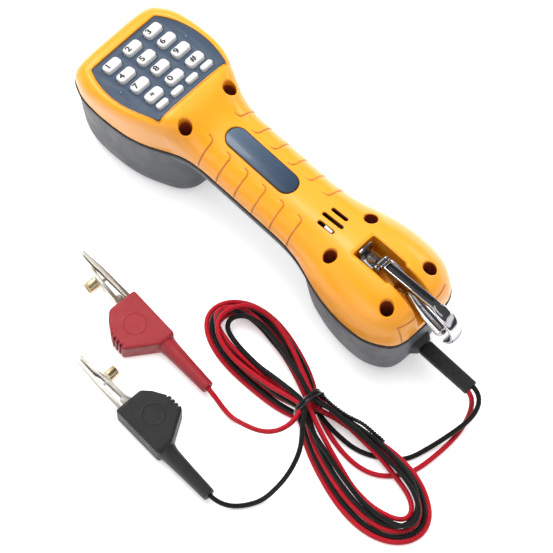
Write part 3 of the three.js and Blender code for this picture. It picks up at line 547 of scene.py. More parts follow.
BOARD_GREEN = surface("board_green", (0.015, 0.09, 0.04), 0.4, grain=(0.6, 0.02), mottle=(4, 0.3))
FLOOR_WHITE = surface("floor_white", (0.93, 0.93, 0.93), 0.6, grain=(20, 0.01), Emission_Strength=0.42,
                      Emission_Color=(1, 1, 1, 1))
SLOT_OF = {"label_blank": "panel_blue"}      # a piece's slot, where its material isn't named after it


# ---------------------------------------------------------------- camera and stage

VIEW_AZIMUTH, VIEW_ELEVATION = math.radians(45), math.radians(65)
VIEW_TARGET = Vector((32 + SHIFT, -23.75, 8)) * MM
VIEW_DISTANCE = 1.9074
VIEW_LENS = 214.83
LIGHT_TARGET = Vector((0, -0.03, 0.03))
# Each light's place, power, width and height, and the rays that don't see it.
LIGHTS = {"overhead_light": ((-0.3, 0.2, 1.4), 30, 1.5, 1.5, "glossy"),
          "strip_light": ((-0.75, 0.1, 0.75), 3.5, 0.22, 0.9, None),
          "rim_light": ((0.2, 1.0, 0.5), 2, 0.9, 0.25, None),
          "side_light": ((0.15, -0.95, 0.42), 2.6, 0.9, 0.6, "diffuse")}
# The studio's brightness against height, as (sine of the elevation, brightness), and the noise on it.
STUDIO_BANDS = [(0.0, 0.05), (0.3, 0.07), (0.37, 1.1), (0.6, 1.0), (0.68, 0.08), (0.9, 0.1), (0.965, 1.2)]
BEND_SCALE, BEND = 1.7, 0.18
FLOOR_HALF, FLOOR_DROP = 4, 0.0003


def aim(thing, target):
    thing.rotation_euler = (target - thing.location).to_track_quat("-Z", "Y").to_euler()


def make_camera():
    bpy.context.scene.view_settings.view_transform = "Standard"
    data = bpy.data.cameras.new("camera")
    data.lens = VIEW_LENS
    data.sensor_width = 36
    data.clip_end = 30
    camera = new_object("camera", data)
    flat = math.cos(VIEW_ELEVATION)
    back = Vector((math.sin(VIEW_AZIMUTH) * flat, -math.cos(VIEW_AZIMUTH) * flat, math.sin(VIEW_ELEVATION)))
    camera.location = VIEW_TARGET + back * VIEW_DISTANCE
    aim(camera, VIEW_TARGET)
    bpy.context.scene.camera = camera


def make_light(name, place, power, width, height, unseen_by):
    data = bpy.data.lights.new(name, "AREA")
    data.shape = "RECTANGLE"
    data.size, data.size_y = width, height
    data.energy = power
    lamp = new_object(name, data)
    lamp.location = place
    if unseen_by:
        setattr(lamp, f"visible_{unseen_by}", False)
    aim(lamp, LIGHT_TARGET)


def make_world():
    """A studio of bright and dark bands, bent a little by noise, that the plated parts mirror."""
    world = bpy.data.worlds.new("studio")
    world.use_nodes = True
    tree = world.node_tree
    place = add_node(tree, "TexCoord").outputs["Generated"]
    height = add_node(tree, "SeparateXYZ", Vector=place).outputs["Z"]
    patches = add_node(tree, "TexNoise", Scale=BEND_SCALE, Detail=0, Vector=place).outputs["Fac"]
    bend = calculated(tree, "MULTIPLY_ADD", patches, 2 * BEND, -BEND)
    bands = add_node(tree, "ValToRGB", Fac=calculated(tree, "ADD", bend, height))
    while len(bands.color_ramp.elements) < len(STUDIO_BANDS):
        bands.color_ramp.elements.new(0.5)
    for element, (position, bright) in zip(bands.color_ramp.elements, STUDIO_BANDS):
        element.position = position
        element.color = (bright, bright, bright * 1.02, 1)
    feed_all(tree, tree.nodes["Background"], {"Color": bands.outputs["Color"]})
    bpy.context.scene.world = world


def make_stage():
    floor = mesh_piece("floor", [(x * FLOOR_HALF, y * FLOOR_HALF, 0) for x, y in
                                 ((-1, -1), (1, -1), (1, 1), (-1, 1))], [(0, 1, 2, 3)])
    floor.data.materials.append(FLOOR_WHITE)
    floor.location.z = -FLOOR_DROP
    make_world()
    for name, light in LIGHTS.items():
        make_light(name, *light)


# ---------------------------------------------------------------- leads

STEP = 2.0                                   # spacing of a lead's points
HUMP = 0.016                                 # how sharply a lead may hump over another, per mm
HANK_HEIGHT_GAP = 2 * LEAD_RADIUS + 0.02
NECK_FADE = 26                               # how far from the neck its strands' places still count
END_CLEAR = 6                                # this near its ends, a turn doesn't rest on what it joins
RED_START_IN_HANK = at_height(LEAD_RADIUS, (166, -61), (157.2, -69.4), (146.1, -72.9), (133.1, -72.8),
                              (119, -70))
BLACK_START_IN_HANK = at_height(LEAD_RADIUS, (154, -58.2), (143.5, -64.6), (131, -67.5), (118, -67.8))
# Each turn round a lobe: its length, and its reach to the +Y and the -Y side, from outside to inside.
EAR_TURNS = {"red": [(86.2, 24.0, 17.6), (78.6, 18.4, 12.4), (81.6, 15.0, 9.6), (75.8, 21.0, 14.6)],
             "black": [(83.2, 21.6, 14.8), (80.8, 19.2, 11.6), (78.0, 12.6, 13.2), (72.6, 13.4, 6.8)]}
CORD_TURNS = {"red": [(96.6, 22.4, 25.0), (91.2, 17.0, 19.4), (86.6, 12.6, 10.6)],
              "black": [(93.9, 19.8, 22.0), (88.6, 18.2, 17.0), (91.4, 14.6, 13.6)]}
NECK_PLACES = {"red": [(4.8, -4.8), (2.4, -2.5), (0.2, -0.4), (3.5, -3.7)],
               "black": [(3.6, -3.7), (1.2, -1.4), (4.6, -4.6), (2.1, -2.3)]}


def catmull(points, step=STEP):
    """Points along a smooth curve through the given ones."""
    p = np.array(points, float)
    p = np.vstack([2 * p[0] - p[1], p, 2 * p[-1] - p[-2]])
    out = []
    for a, b, c, d in zip(p, p[1:], p[2:], p[3:]):
        t = np.linspace(0, 1, max(2, int(np.linalg.norm(c - b) / step) + 1), endpoint=False)[:, None]
        out.append(0.5 * (2 * b + (c - a) * t + (2 * a - 5 * b + 4 * c - d) * t ** 2
                          + (3 * b - a - 3 * c + d) * t ** 3))
    out.append(p[-2:-1])
    return np.vstack(out)


def from_hank(u, v):
    """From the hank's own frame, along it and across, to the handset's."""
    c, s = math.cos(HANK["turn"]), math.sin(HANK["turn"])
    return np.stack([HANK["x"] + u * c - v * s, HANK["y"] + u * s + v * c], axis=-1)


def lobe(toward, length, up, down, neck_up, neck_down, pinch=0.7):
    """One turn round a lobe of the hank. The ear lobe runs from +Y to -Y, and the cord lobe back. A larger
    pinch draws its two sides together earlier towards the neck."""
    angle = np.linspace(math.pi, -math.pi, 61)[1:-1]
    if toward > 0:
        angle = -angle
    along = length * (1 + np.cos(angle)) / 2
    shape = np.sin(angle) * np.abs(np.cos(angle / 2)) ** pinch * (0.97 + 0.27 * pinch)
    across = np.where(shape > 0, up, down) * shape
    neck = np.where(shape > 0, neck_up, neck_down) * np.exp(-(along / NECK_FADE) ** 2)
    return from_hank(toward * along, across + neck)


def resample(line, step=STEP):
    far = np.concatenate([[0], np.cumsum(np.linalg.norm(np.diff(line, axis=0), axis=1))])
    at = np.linspace(0, far[-1], int(far[-1] / step) + 1)
    return np.stack([np.interp(at, far, line[:, k]) for k in range(line.shape[1])], axis=1)


def ease(values, spread):
    """Gaussian smoothing along a line that keeps its ends."""
    reach = int(3 * spread)
    kernel = bell(reach, spread)
    out = values.copy()
    for k in range(values.shape[1]):
        first, last = values[0, k], values[-1, k]
        padded = np.concatenate([2 * first - values[reach:0:-1, k], values[:, k],
                                 2 * last - values[-2:-reach - 2:-1, k]])
        out[:, k] = np.convolve(padded, kernel, mode="valid")
    return out


def lead_line(colour, start, inside, end, into_clip):
    """A whole lead's line, and for each point how late it was laid: later turns lie on earlier ones."""
    in_sleeve = (SLEEVE["to"] - 5, start[0][1], SLEEVE["z"])
    legs = [catmull([in_sleeve] + start + inside)]
    for turn, ear in enumerate(EAR_TURNS[colour]):
        up, down = NECK_PLACES[colour][turn]
        ears = lobe(-1, *ear, up, down, 0.7 + 0.3 * turn)
        legs.append(np.column_stack([ears, np.full(len(ears), LEAD_RADIUS)]))
        if turn < len(CORD_TURNS[colour]):
            next_up = NECK_PLACES[colour][turn + 1][0]
            cords = lobe(1, *CORD_TURNS[colour][turn], next_up, down)
            legs.append(np.column_stack([cords, np.full(len(cords), LEAD_RADIUS)]))
    legs.append(catmull(end + into_clip))
    line = resample(np.vstack([np.column_stack([leg, np.full(len(leg), i)]) for i, leg in enumerate(legs)]))
    order = np.round(line[:, 3]).astype(int)
    return ease(line[:, :3], 2.2), order


def resting_height(points, below):
    """The height at which each point rests on what was laid before it."""
    if not len(below):
        return np.full(len(points), LEAD_RADIUS)
    flat = np.linalg.norm(points[:, None, :2] - below[None, :, :2], axis=2)
    lifted = np.sqrt(np.maximum(HANK_HEIGHT_GAP ** 2 - flat ** 2, 0)) + below[None, :, 2]
    return np.where(flat < HANK_HEIGHT_GAP, lifted, 0).max(axis=1)


def hump(lift):
    """Spreads the lifts of a lead's points into long low humps."""
    along = np.arange(len(lift)) * STEP
    return (lift[None, :] - HUMP * (along[:, None] - along[None, :]) ** 2).max(axis=1)


def lay(lines):
    """Lays all the leads' turns down in order, each over the ones before."""
    laid = np.zeros((0, 3))
    plain = {colour: line[:, 2].copy() for colour, (line, _) in lines.items()}
    legs = max(order.max() for _, order in lines.values()) + 1
    for leg in range(legs):
        for line, order in lines.values():
            mine = np.flatnonzero(order == leg)
            if not len(mine):
                continue
            points = line[mine]
            to_ends = np.linalg.norm(laid[:, None] - points[None, [0, -1]], axis=2).min(axis=1)
            lift = np.maximum(resting_height(points, laid[to_ends > END_CLEAR]) - points[:, 2], 0)
            line[mine, 2] += hump(lift)
            laid = np.vstack([laid, line[mine]])
    for colour, (line, _) in lines.items():
        lift = hump(line[:, 2] - plain[colour])
        line[:, 2] = np.maximum(plain[colour] + ease(lift[:, None], 1.5)[:, 0], LEAD_RADIUS + 0.05)


def clip_point(colour, x, y, z):
    """From a clip's own frame, with its bulge towards -Y, to the handset's."""
    clip = CLIPS[colour]
    c, s = math.cos(clip["turn"]), math.sin(clip["turn"])
    y *= clip["side"]
    return (clip["x"] + x * c - y * s, clip["y"] + x * s + y * c, z)


def make_lead(colour, line, look):
    curve = tube(f"{colour}_lead", (line + (SHIFT, 0, 0)) * MM, LEAD_RADIUS * MM, 3)
    curve.splines[0].use_smooth = True
    curve.materials.append(look)
    piece = new_object(f"{colour}_lead", curve)
    slot_of(look)
    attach(piece, "handset")
    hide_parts(f"{colour}_lead_start", f"{colour}_lead_end", "lead_hank")
    return piece


def make_leads():
    inside_boot = {colour: [clip_point(colour, x, 6.5, 7) for x in (40, 22, 3)] for colour in CLIPS}
    lines = {
        "red": lead_line("red", RED_START_ROUTE, RED_START_IN_HANK, RED_END_ROUTE, inside_boot["red"]),
        "black": lead_line("black", BLACK_START_ROUTE, BLACK_START_IN_HANK, BLACK_END_ROUTE,
                           inside_boot["black"]),
    }
    lay(lines)
    return {colour: (make_lead(colour, line, look), line)
            for (colour, (line, _)), look in zip(lines.items(), (LEAD_RED, LEAD_BLACK))}


make_camera()
make_stage()
leads = make_leads()


# ---------------------------------------------------------------- casing

SEAM = GASKET_HALF + GAP + 0.6               # from the parting line to where a shell's skin begins
SKIRT, INNER_SKIRT = 0.6, 2                  # how far a skin runs on past there
# The handle's underside is shorter and narrower than the upper shell, and has its own roundness.
UNDER_SHORT, UNDER_NARROW, UNDER_SQUARENESS = 6, 0.3, 2.2
# The heights of a cup's rings between its floor and the parting line.
CUP_LEVELS = (0.4, 1, 1.8, 3, 5, 8, 12, 17, 23, 30, 34)
ABOVE = 100                                  # higher than the whole handset


def stations(start, end, count):
    """Sample places along X, closer together towards both ends."""
    even = np.linspace(0, 1, count + 1)
    eased = (1 - np.cos(math.pi * even)) / 2
    return start + (end - start) * (0.45 * even + 0.55 * eased)


def arch(x, half, rise, exponent, base, skirt, up, steps):
    """Half of a rounded-square section with even points, from +Y to -Y, closed below by its skirt."""
    angle = np.linspace(0, math.pi, 901)
    across = half * np.sign(np.cos(angle)) * np.abs(np.cos(angle)) ** (2 / exponent)
    high = base + up * rise * np.abs(np.sin(angle)) ** (2 / exponent)
    far = np.concatenate([[0], np.cumsum(np.hypot(np.diff(across), np.diff(high)))])
    at = np.linspace(0, far[-1], steps + 1)
    y = np.append(np.interp(at, far, across), [-half, half])
    z = np.append(np.interp(at, far, high), [base - up * skirt] * 2)
    return np.column_stack([np.full(len(y), x), y, z])


def upper_skin(inset, steps, count):
    rings = []
    for x in stations(EAR_END + inset, CORD_END - inset, count):
        base = parting_at(x) + SEAM
        half = half_width_at(x) - inset
        rise = max(top_at(x) - inset - base, 1)
        skirt = INNER_SKIRT if inset else SKIRT
        rings.append(arch(x, half, rise, squareness_at(x), base, skirt, 1, steps))
    return loft("skin", rings)


def under_skin(inset, steps, count):
    rings = []
    for x in stations(EAR_END + UNDER_SHORT + inset, CORD_END - UNDER_SHORT - inset, count):
        base = parting_at(x) - SEAM
        half = half_width_at(x) - inset - UNDER_NARROW
        drop = base - underside_at(x) - inset
        skirt = INNER_SKIRT if inset else SKIRT
        rings.append(arch(x, half, drop, UNDER_SQUARENESS, base, skirt, -1, steps))
    return loft("skin", rings)


def cup_outline(cup, inset, count):
    """A cup's outline at the parting line, rounded on the side of the handle and drawn inwards."""
    along = (1 - np.cos(np.linspace(0, math.pi, count + 1))) / 2
    x = cup["from"] + (cup["to"] - cup["from"]) * along
    to_handle = cup["to"] - x if cup["from"] == EAR_END else x - cup["from"]
    lost = CUP_CORNER - np.sqrt(np.maximum(CUP_CORNER ** 2 - np.maximum(CUP_CORNER - to_handle, 0) ** 2, 0))
    y = np.maximum(half_width_at(x) - lost, 2)
    middle, half = (cup["from"] + cup["to"]) / 2, (cup["to"] - cup["from"]) / 2
    x = middle + (x - middle) * (half - inset) / half
    y = y * (y.max() - inset) / y.max()
    outline = np.concatenate([np.column_stack([x, -y]), np.column_stack([x, y])[::-1]])
    return rounded_off(outline, 2 * count + 2)


def rounded_off(outline, count, spread=0.012):
    """A closed outline with evenly spaced points and its corners eased."""
    closed = np.vstack([outline, outline[:1]])
    far = np.concatenate([[0], np.cumsum(np.linalg.norm(np.diff(closed, axis=0), axis=1))])
    at = np.linspace(0, far[-1], count, endpoint=False)
    even = np.stack([np.interp(at, far, closed[:, k]) for k in (0, 1)], axis=1)
    reach = max(1, int(4 * spread * count))
    weights = bell(reach, spread * count)
    return sum(w * np.roll(even, k, axis=0) for k, w in zip(range(-reach, reach + 1), weights))


def cup_skin(cup, inset, floor, count=56):
    inset_at = smooth(cup["insets"])
    top = cup["insets"][-1][0]
    levels = [floor] + [z for z in CUP_LEVELS if z > floor] + [top]
    rings = []
    for z in levels:
        ring = cup_outline(cup, inset + inset_at(z - (floor if inset else 0)), count)
        ceiling = parting_at(np.clip(ring[:, 0], EAR_END, CORD_END)) - GASKET_HALF - GAP
        height = ceiling + (2 if inset else 0) if z == top else np.minimum(z, ceiling - 3)
        rings.append(np.column_stack([ring, height * np.ones(len(ring))]))
    return loft("skin", rings)


def to_pad(place):
    """From the handset's frame to the keypad's own."""
    rest = place - np.array(PAD_ORIGIN)
    c, s = math.cos(PAD_TILT), math.sin(PAD_TILT)
    return np.column_stack([rest[:, 0] * c + rest[:, 2] * s, rest[:, 1], rest[:, 2] * c - rest[:, 0] * s])


def from_pad(piece):
    piece.data.transform(Matrix.Translation(PAD_ORIGIN) @ Matrix.Rotation(-PAD_TILT, 4, "Y"))
    return piece


def panel_side(count=28):
    """The panel's bulged side, from the ear end to the handle."""
    t = np.linspace(0, 1, count + 1)
    belly = 2 * PAD_HALF["middle"] - (PAD_HALF["ear"] + PAD_HALF["handle"]) / 2
    x = (1 - t) ** 2 * PAD_FROM + 2 * t * (1 - t) * ((PAD_FROM + PAD_TO) / 2 - 4) + t ** 2 * PAD_TO
    y = (1 - t) ** 2 * PAD_HALF["ear"] + 2 * t * (1 - t) * belly + t ** 2 * PAD_HALF["handle"]
    return x, y


def panel_outline(grow):
    x, y = panel_side()
    middle = (PAD_FROM + PAD_TO) / 2
    x = middle + (x - middle) * (1 + 2 * grow / (PAD_TO - PAD_FROM))
    return [*zip(x, -y - grow), *zip(x[::-1], y[::-1] + grow)]


def beyond(across, along):
    """Distance outside a box-like outline, from its distances across and along."""
    return np.where((across > 0) & (along > 0), np.hypot(across, along), np.maximum(across, along))


STEP_PITCH, STEP_FIRST, STEP_COUNT = 14.2, -31.4, 6      # the thumb pads' step lines
STEP_INNER, STEP_CORNER, STEP_HEIGHT = 10.2, 2.6, 0.45
STEP_HOOK = 4.2                                          # how far a step line turns back at its inner end
GROOVE_HALF, GROOVE_DEPTH = 0.34, 0.35
RIM_FILLET, RIM_DROP = 4.2, 1.5                          # how the shell rounds down to the keypad panel
RECESS_FILLET, RECESS_DROP = 2.6, 1.1
CHANNEL_FILLET, CHANNEL_DROP = 1.6, 0.6
WELL_FILLET, WELL_DROP = 0.9, 0.35
FLAP = {"from": 119.5, "half": 19, "top": 69.5, "height": 0.35}
FAR = 9                                      # a distance out of reach of every mark


def thumb_pads(x, y):
    """Height of the scale-like pads: each rises towards the cord end and drops at its step line."""
    pad = np.ceil((x - STEP_FIRST) / STEP_PITCH)
    to_line = STEP_FIRST + pad * STEP_PITCH - x
    inward = np.abs(y) - STEP_INNER
    corner = STEP_CORNER - np.hypot(STEP_CORNER - to_line, STEP_CORNER - inward)
    rounded = (to_line < STEP_CORNER) & (inward < STEP_CORNER)
    inside = np.where(rounded, corner, np.minimum(to_line, inward))
    soft = 0.25 + 0.75 * np.maximum(to_line - 2, 0)
    rise = 0.12 + 0.88 * (1 - to_line / STEP_PITCH) ** 1.6
    here = (pad >= 0) & (pad < STEP_COUNT)
    return np.where(here, STEP_HEIGHT * rise * ramp(inside, 0, soft), 0)


def step_grooves(x, y):
    """Distance from the nearest step line: across from the edge, then round a corner and back."""
    pad = np.ceil((x - STEP_FIRST) / STEP_PITCH - 0.12)
    to_line = STEP_FIRST + pad * STEP_PITCH - x
    inward = np.abs(y) - STEP_INNER
    round_corner = np.abs(STEP_CORNER - np.hypot(STEP_CORNER - to_line, STEP_CORNER - inward))
    across = np.where(inward > STEP_CORNER, np.abs(to_line), FAR)
    back = np.where((to_line > STEP_CORNER) & (to_line < STEP_HOOK), np.abs(inward), FAR)
    corner = np.where((to_line < STEP_CORNER) & (inward < STEP_CORNER), round_corner, FAR)
    here = (pad >= 0) & (pad < STEP_COUNT)
    return np.where(here, np.minimum(np.minimum(across, back), corner), FAR)


def flap_side(x, y, z):
    """Distance outside the flap at the cord end."""
    return np.maximum(np.maximum(FLAP["from"] - x, np.abs(y) - FLAP["half"]), z - FLAP["top"])


def outer_side(place):
    """1 on the upper shell's outer skin, and 0 inside it."""
    x, y, z = place.T
    base = parting_at(x) + SEAM
    power = squareness_at(x)
    rise = np.maximum(z - base, 0) / np.maximum(top_at(x) - base, 1)
    reach = (np.abs(y) / half_width_at(x)) ** power + rise ** power
    return ramp(reach, 0.88, 0.94) * ramp(z, base - 0.2, base + 1.4)


def upper_shade_marks(place):
    """Painted shade on the upper shell: darker down its wells and slots, and dark lines along its step lines
    and the flap's edge, where the steps fall into shade.
    """
    x, y, z = place.T
    shaded_hollow = np.zeros(len(x))
    # painted shade down the wells and the slots
    for sx, sy in SCREWS:
        down = top_at(x) * (1 - 0.12 * (np.abs(y) / half_width_at(x)) ** 2) - z
        shaded_hollow = np.maximum(shaded_hollow, (np.hypot(x - sx, y - sy) < WELL_RADIUS + 0.4) * ramp(down, 1.2, 3))
    for sy, length in SLOTS:
        within = (np.abs(y - sy) < SLOT_WIDTH / 2 + 0.5) & (np.abs(x - SLOT_X) < length / 2 + 0.5)
        shaded_hollow = np.maximum(shaded_hollow, within * ramp(top_at(x) - z, 0.5, 1.3))
    grooves = step_grooves(x, y)
    from_line = np.where(x > FLAP["from"] - 1, np.minimum(grooves, np.abs(flap_side(x, y, z))), grooves)
    # painted shade: dark lines along the step lines and the flap's edge
    line = (1 - ramp(from_line, GROOVE_HALF * 0.5, GROOVE_HALF * 1.5)) * outer_side(place)
    return np.maximum(shaded_hollow, 0.8 * line)


def fillet(distance, reach, drop):
    """How far a rounded edge has dropped at each distance from it."""
    return drop * (1 - np.clip(distance / reach, 0, 1)) ** 2


def upper_relief(place, normal):
    """How far each point of the upper shell's outer face stands out from the plain skin."""
    x, y, z = place.T
    px, py, _ = to_pad(place).T
    side_x, side_y = panel_side()
    from_panel = beyond(np.abs(py) - np.interp(px, side_x, side_y), np.maximum(PAD_FROM - px, px - PAD_TO))
    from_recess = beyond(np.abs(y) - RECESS["half"], np.maximum(RECESS["from"] - x, x - RECESS["to"]))
    from_channel = np.where(x > RECESS["to"], np.abs(y) - CHANNEL["half"], FAR)
    relief = thumb_pads(x, y) - GROOVE_DEPTH * (1 - ramp(step_grooves(x, y), 0, GROOVE_HALF * 2))
    relief -= fillet(from_panel, RIM_FILLET, RIM_DROP)
    relief -= fillet(from_recess, RECESS_FILLET, RECESS_DROP)
    relief -= fillet(from_channel, CHANNEL_FILLET, CHANNEL_DROP)
    for sx, sy in SCREWS:
        relief -= fillet(np.hypot(x - sx, y - sy) - WELL_RADIUS, WELL_FILLET, WELL_DROP)
    relief += FLAP["height"] * ramp(-flap_side(x, y, z), 0, 0.3) * ramp(x, 0, 1)
    facing = (normal * np.column_stack([x * 0, y / half_width_at(x), np.ones(len(x))])).sum(axis=1)
    return relief * outer_side(place) * ramp(facing, -0.1, 0.3)


def places_of(mesh):
    place = np.empty(len(mesh.vertices) * 3)
    mesh.vertices.foreach_get("co", place)
    return place.reshape(-1, 3)


def mark(piece, marks):
    """Stores marks(places) on the piece, for its material to read as painted shade."""
    values = marks(places_of(piece.data))
    piece.data.attributes.new(SHADE_MARK, "FLOAT", "POINT").data.foreach_set("value", values)
    return piece


def emboss(piece, relief):
    """Moves every point along its normal by relief(places, normals)."""
    mesh = piece.data
    place = places_of(mesh)
    normal = np.empty(place.size)
    mesh.vertex_normals.foreach_get("vector", normal)
    normal = normal.reshape(-1, 3)
    place += normal * relief(place, normal)[:, None]
    mesh.vertices.foreach_set("co", place.ravel())
    mesh.update()
    return piece


SCREW_HEIGHT, SCREW_HEAD, SCREW_REACH = 2.2, 3.3, 9
SCREW_HOLE, SCREW_BOSS, SCREW_POST = 1.8, 5.6, 3.6       # radii
LINING = 2                                               # walls of the recess, around and below it


def parting_height(x):
    return float(parting_at(x))


def screw_floor(x):
    return parting_height(x) + 5


def slot_hole(y, length):
    reach = length / 2 - SLOT_WIDTH / 2
    hole = flat_piece([stadium(SLOT_X - reach, SLOT_X + reach, SLOT_WIDTH / 2, 8)], 60, ABOVE)
    hole.data.transform(Matrix.Translation((0, y, 0)))
    return hole


def hook_pit(grow, lap, end):
    """The recess, and the channel that runs from it to the cord end, grown on all sides but the top."""
    start, to, half = RECESS["from"], RECESS["to"], RECESS["half"] + grow
    width = CHANNEL["half"] + grow
    return [box(start - grow, to + grow, -half, half, RECESS["floor"] - grow, ABOVE),
            box(to - lap, end, -width, width, CHANNEL["floor"] - grow, ABOVE)]


def make_upper_shell():
    shell = cut(upper_skin(0, 96, 220), upper_skin(WALL, 40, 70))
    bosses = [cylinder(x, y, parting_height(x) + 2.2, ABOVE, SCREW_BOSS) for x, y in SCREWS]
    inside = join(*hook_pit(LINING, GUTTER_LAP, CORD_END), *bosses)
    shell = join(shell, meet(inside, upper_skin(0.05, 60, 120)))
    seat = flat_piece([stadium(LABEL["from"], LABEL["to"], LABEL["half"] + 0.2)],
                      LABEL["top"] - LABEL["thick"] - GAP, ABOVE)
    holes = [from_pad(flat_piece([panel_outline(GAP)], -12, 20)), *hook_pit(0, 1, CORD_END + 5), seat]
    holes += [slot_hole(y, length) for y, length in SLOTS]
    for x, y in SCREWS:
        holes.append(cylinder(x, y, screw_floor(x), ABOVE, WELL_RADIUS))
        holes.append(cylinder(x, y, 40, ABOVE, SCREW_HOLE, 16))
    cut(shell, *holes)
    remesh(shell, 0.42, 4)
    # painted shade down the wells and slots and along the step lines
    mark(shell, upper_shade_marks)
    emboss(shell, upper_relief)
    settle(shell, "upper_shell_skin", YELLOW, "upper_shell", angle=180)


def make_lower_shell():
    outer, trimmer = (join(under_skin(0, 60, 120), cup_skin(EAR_CUP, 0, 0), cup_skin(MOUTH_CUP, 0, 0))
                      for _ in range(2))
    inner = join(under_skin(WALL, 30, 60), *[cup_skin(cup, WALL, WALL, 30) for cup in (EAR_CUP, MOUTH_CUP)])
    posts = [cylinder(x, y, 1.5, parting_height(x) - GASKET_HALF - GAP - 1, SCREW_POST) for x, y in SCREWS]
    shell = join(cut(outer, inner), meet(merge(*posts), trimmer))
    holes = [cylinder(x, y, parting_height(x) - SCREW_REACH - 2, 70, SCREW_HOLE, 16) for x, y in SCREWS]
    holes += [cylinder(grille["x"], 0, -1, WALL + 1, grille["radius"] + 0.15, 48)
              for grille in GRILLES.values()]
    holes.append(box(CORD_END - 16, CORD_END + 4, -6, 6, FLANGE["z"] - 4, FLANGE["z"] + 4))
    cut(shell, *holes)
    remesh(shell, 0.7, 3)
    settle(shell, "lower_shell_skin", GREY, "lower_shell", angle=180)


GRILLE_HOLE = 0.8
GRILLES = {"ear": {"x": -88, "radius": 20, "rings": [(0, 1), (5, 6), (10, 12), (15, 18)]},
           "mouth": {"x": 92, "radius": 9, "rings": [(0, 1), (3.4, 6), (6.8, 12)]}}


def make_grilles():
    for side, grille in GRILLES.items():
        radius = grille["radius"]
        disc = turned([(0.01, 0.3), (radius - 0.8, 0.3), (radius, 0.9), (radius, WALL), (0.01, WALL)], 64,
                      (grille["x"], 0, 0))
        for reach, count in grille["rings"]:
            for x, y in arc(grille["x"], 0, reach, 0, 360, count)[:-1]:
                cut(disc, cylinder(x, y, -1, WALL + 1, GRILLE_HOLE, 14))
        settle(disc, f"{side}_grille_disc", GREY, f"{side}_grille", angle=30)


def make_gasket():
    """The lip between the shells: a rounded ring that follows the shells' outline."""
    section = [(-1.8, GASKET_HALF), (0.1, GASKET_HALF), (0.45, GASKET_HALF * 0.7), (GASKET_PROUD, 0.3),
               (0.42, 0.05), (GASKET_PROUD, -0.3), (0.45, -GASKET_HALF * 0.7), (0.1, -GASKET_HALF),
               (-1.8, -GASKET_HALF)]
    x = stations(EAR_END, CORD_END, 150)
    half = half_width_at(x)
    line = np.concatenate([np.column_stack([x, half]), np.column_stack([x, -half])[::-1]])
    line = resample(np.vstack([line, line[:1]]), 1.6)[:-1]
    along = np.roll(line, -1, axis=0) - np.roll(line, 1, axis=0)
    outward_way = np.column_stack([-along[:, 1], along[:, 0]])
    outward_way /= np.linalg.norm(outward_way, axis=1)[:, None]
    height = parting_at(line[:, 0])
    rings = [[(*(p + way * out), z + up) for out, up in section]
             for p, way, z in zip(line, outward_way, height)]
    settle(loft("gasket", rings, closed=True), "gasket_lip", GASKET, "shell_gasket", angle=50)


PAN_HEAD = [(1, 0), (1, 0.35), (0.93, 0.62), (0.75, 0.85), (0.4, 0.98)]     # (radius, height), as shares
CROSS_HALF, CROSS_REACH, CROSS_FLOOR, SHANK = 0.45, 2.1, 0.35, 1.5


def make_phillips(x, y, seat, top, radius, shank_to):
    """A pan-head screw standing along Z, with a cross recess."""
    height = top - seat
    pan = [(radius * out, seat + height * up) for out, up in PAN_HEAD]
    head = turned([(SHANK, shank_to), (SHANK, seat), *pan, (0.02, top)], 40, (x, y, 0))
    for dx, dy in ((CROSS_HALF, CROSS_REACH), (CROSS_REACH, CROSS_HALF)):
        cut(head, box(x - dx, x + dx, y - dy, y + dy, seat + height * CROSS_FLOOR, top + 5))
    return head


def make_shell_screws():
    for i, (x, y) in enumerate(SCREWS):
        seat = screw_floor(x) + GAP
        screw = make_phillips(x, y, seat, seat + SCREW_HEIGHT, SCREW_HEAD, parting_height(x) - SCREW_REACH)
        settle(screw, f"shell_screw_{i + 1}_head", STEEL, f"shell_screw_{i + 1}")


LABEL_RIM = 0.55


def label_shade(place):
    """The blank label darkens towards the cord end."""
    return ramp(place[:, 0], LABEL["from"] + 8, LABEL["to"])


def make_label():
    low, high = LABEL["top"] - LABEL["thick"], LABEL["top"]
    outer, inner = (stadium(LABEL["from"], LABEL["to"], LABEL["half"] - inset) for inset in (0, LABEL_RIM))
    edge = bevel(flat_piece([outer], low, high - 0.12), 0.25, 2)
    face = bevel(flat_piece([inner], high - 0.6, high), 0.1, 2)
    edge.data.materials.append(LABEL_EDGE)
    face.data.materials.append(LABEL_BLUE)
    settle(mark(merge(edge, face), label_shade), "label_blank", LABEL_BLUE, "label_plate")


# ---------------------------------------------------------------- keypad

KEY_NAMES = ["key_1", "key_2", "key_3", "key_4", "key_5", "key_6", "key_7", "key_8", "key_9", "key_star",
             "key_0", "key_hash"]
SIGN_OF = {"key_star": "*", "key_hash": "#"}
DIGIT_STYLE = {"size": 5.8, "bold": 0.22, "across": -2.7}
STYLE_OF = {"*": {"size": 7, "bold": 0.12, "across": -0.9}, "#": {**DIGIT_STYLE, "across": -0.9}}
SIGN_SUNK, SIGN_PROUD = 0.2, 0.035
# The talk switch's knob and slider: start, end, half width, low, high and rounding.
TALK_SWITCH = [(-0.8, 4.8, 0.85, 72.4, 77.6, 0.3), (-1.8, 5.8, 1.9, 71.6, 73, 0.25)]
KEY_GAP = 0.35
KEY_FOOT = {"lap": 0.6, "thick": 1}
# The key's rounded top: (inset, depth below the top).
KEY_CROWN = [(0, 1.1), (0.08, 0.75), (0.28, 0.42), (0.62, 0.18), (1.1, 0.06), (1.7, 0.015)]
LAMP_DOME = [(1.45, -1.5), (1.45, -0.1), (1.3, 0.12), (0.95, 0.29), (0.5, 0.38), (0.02, 0.4)]


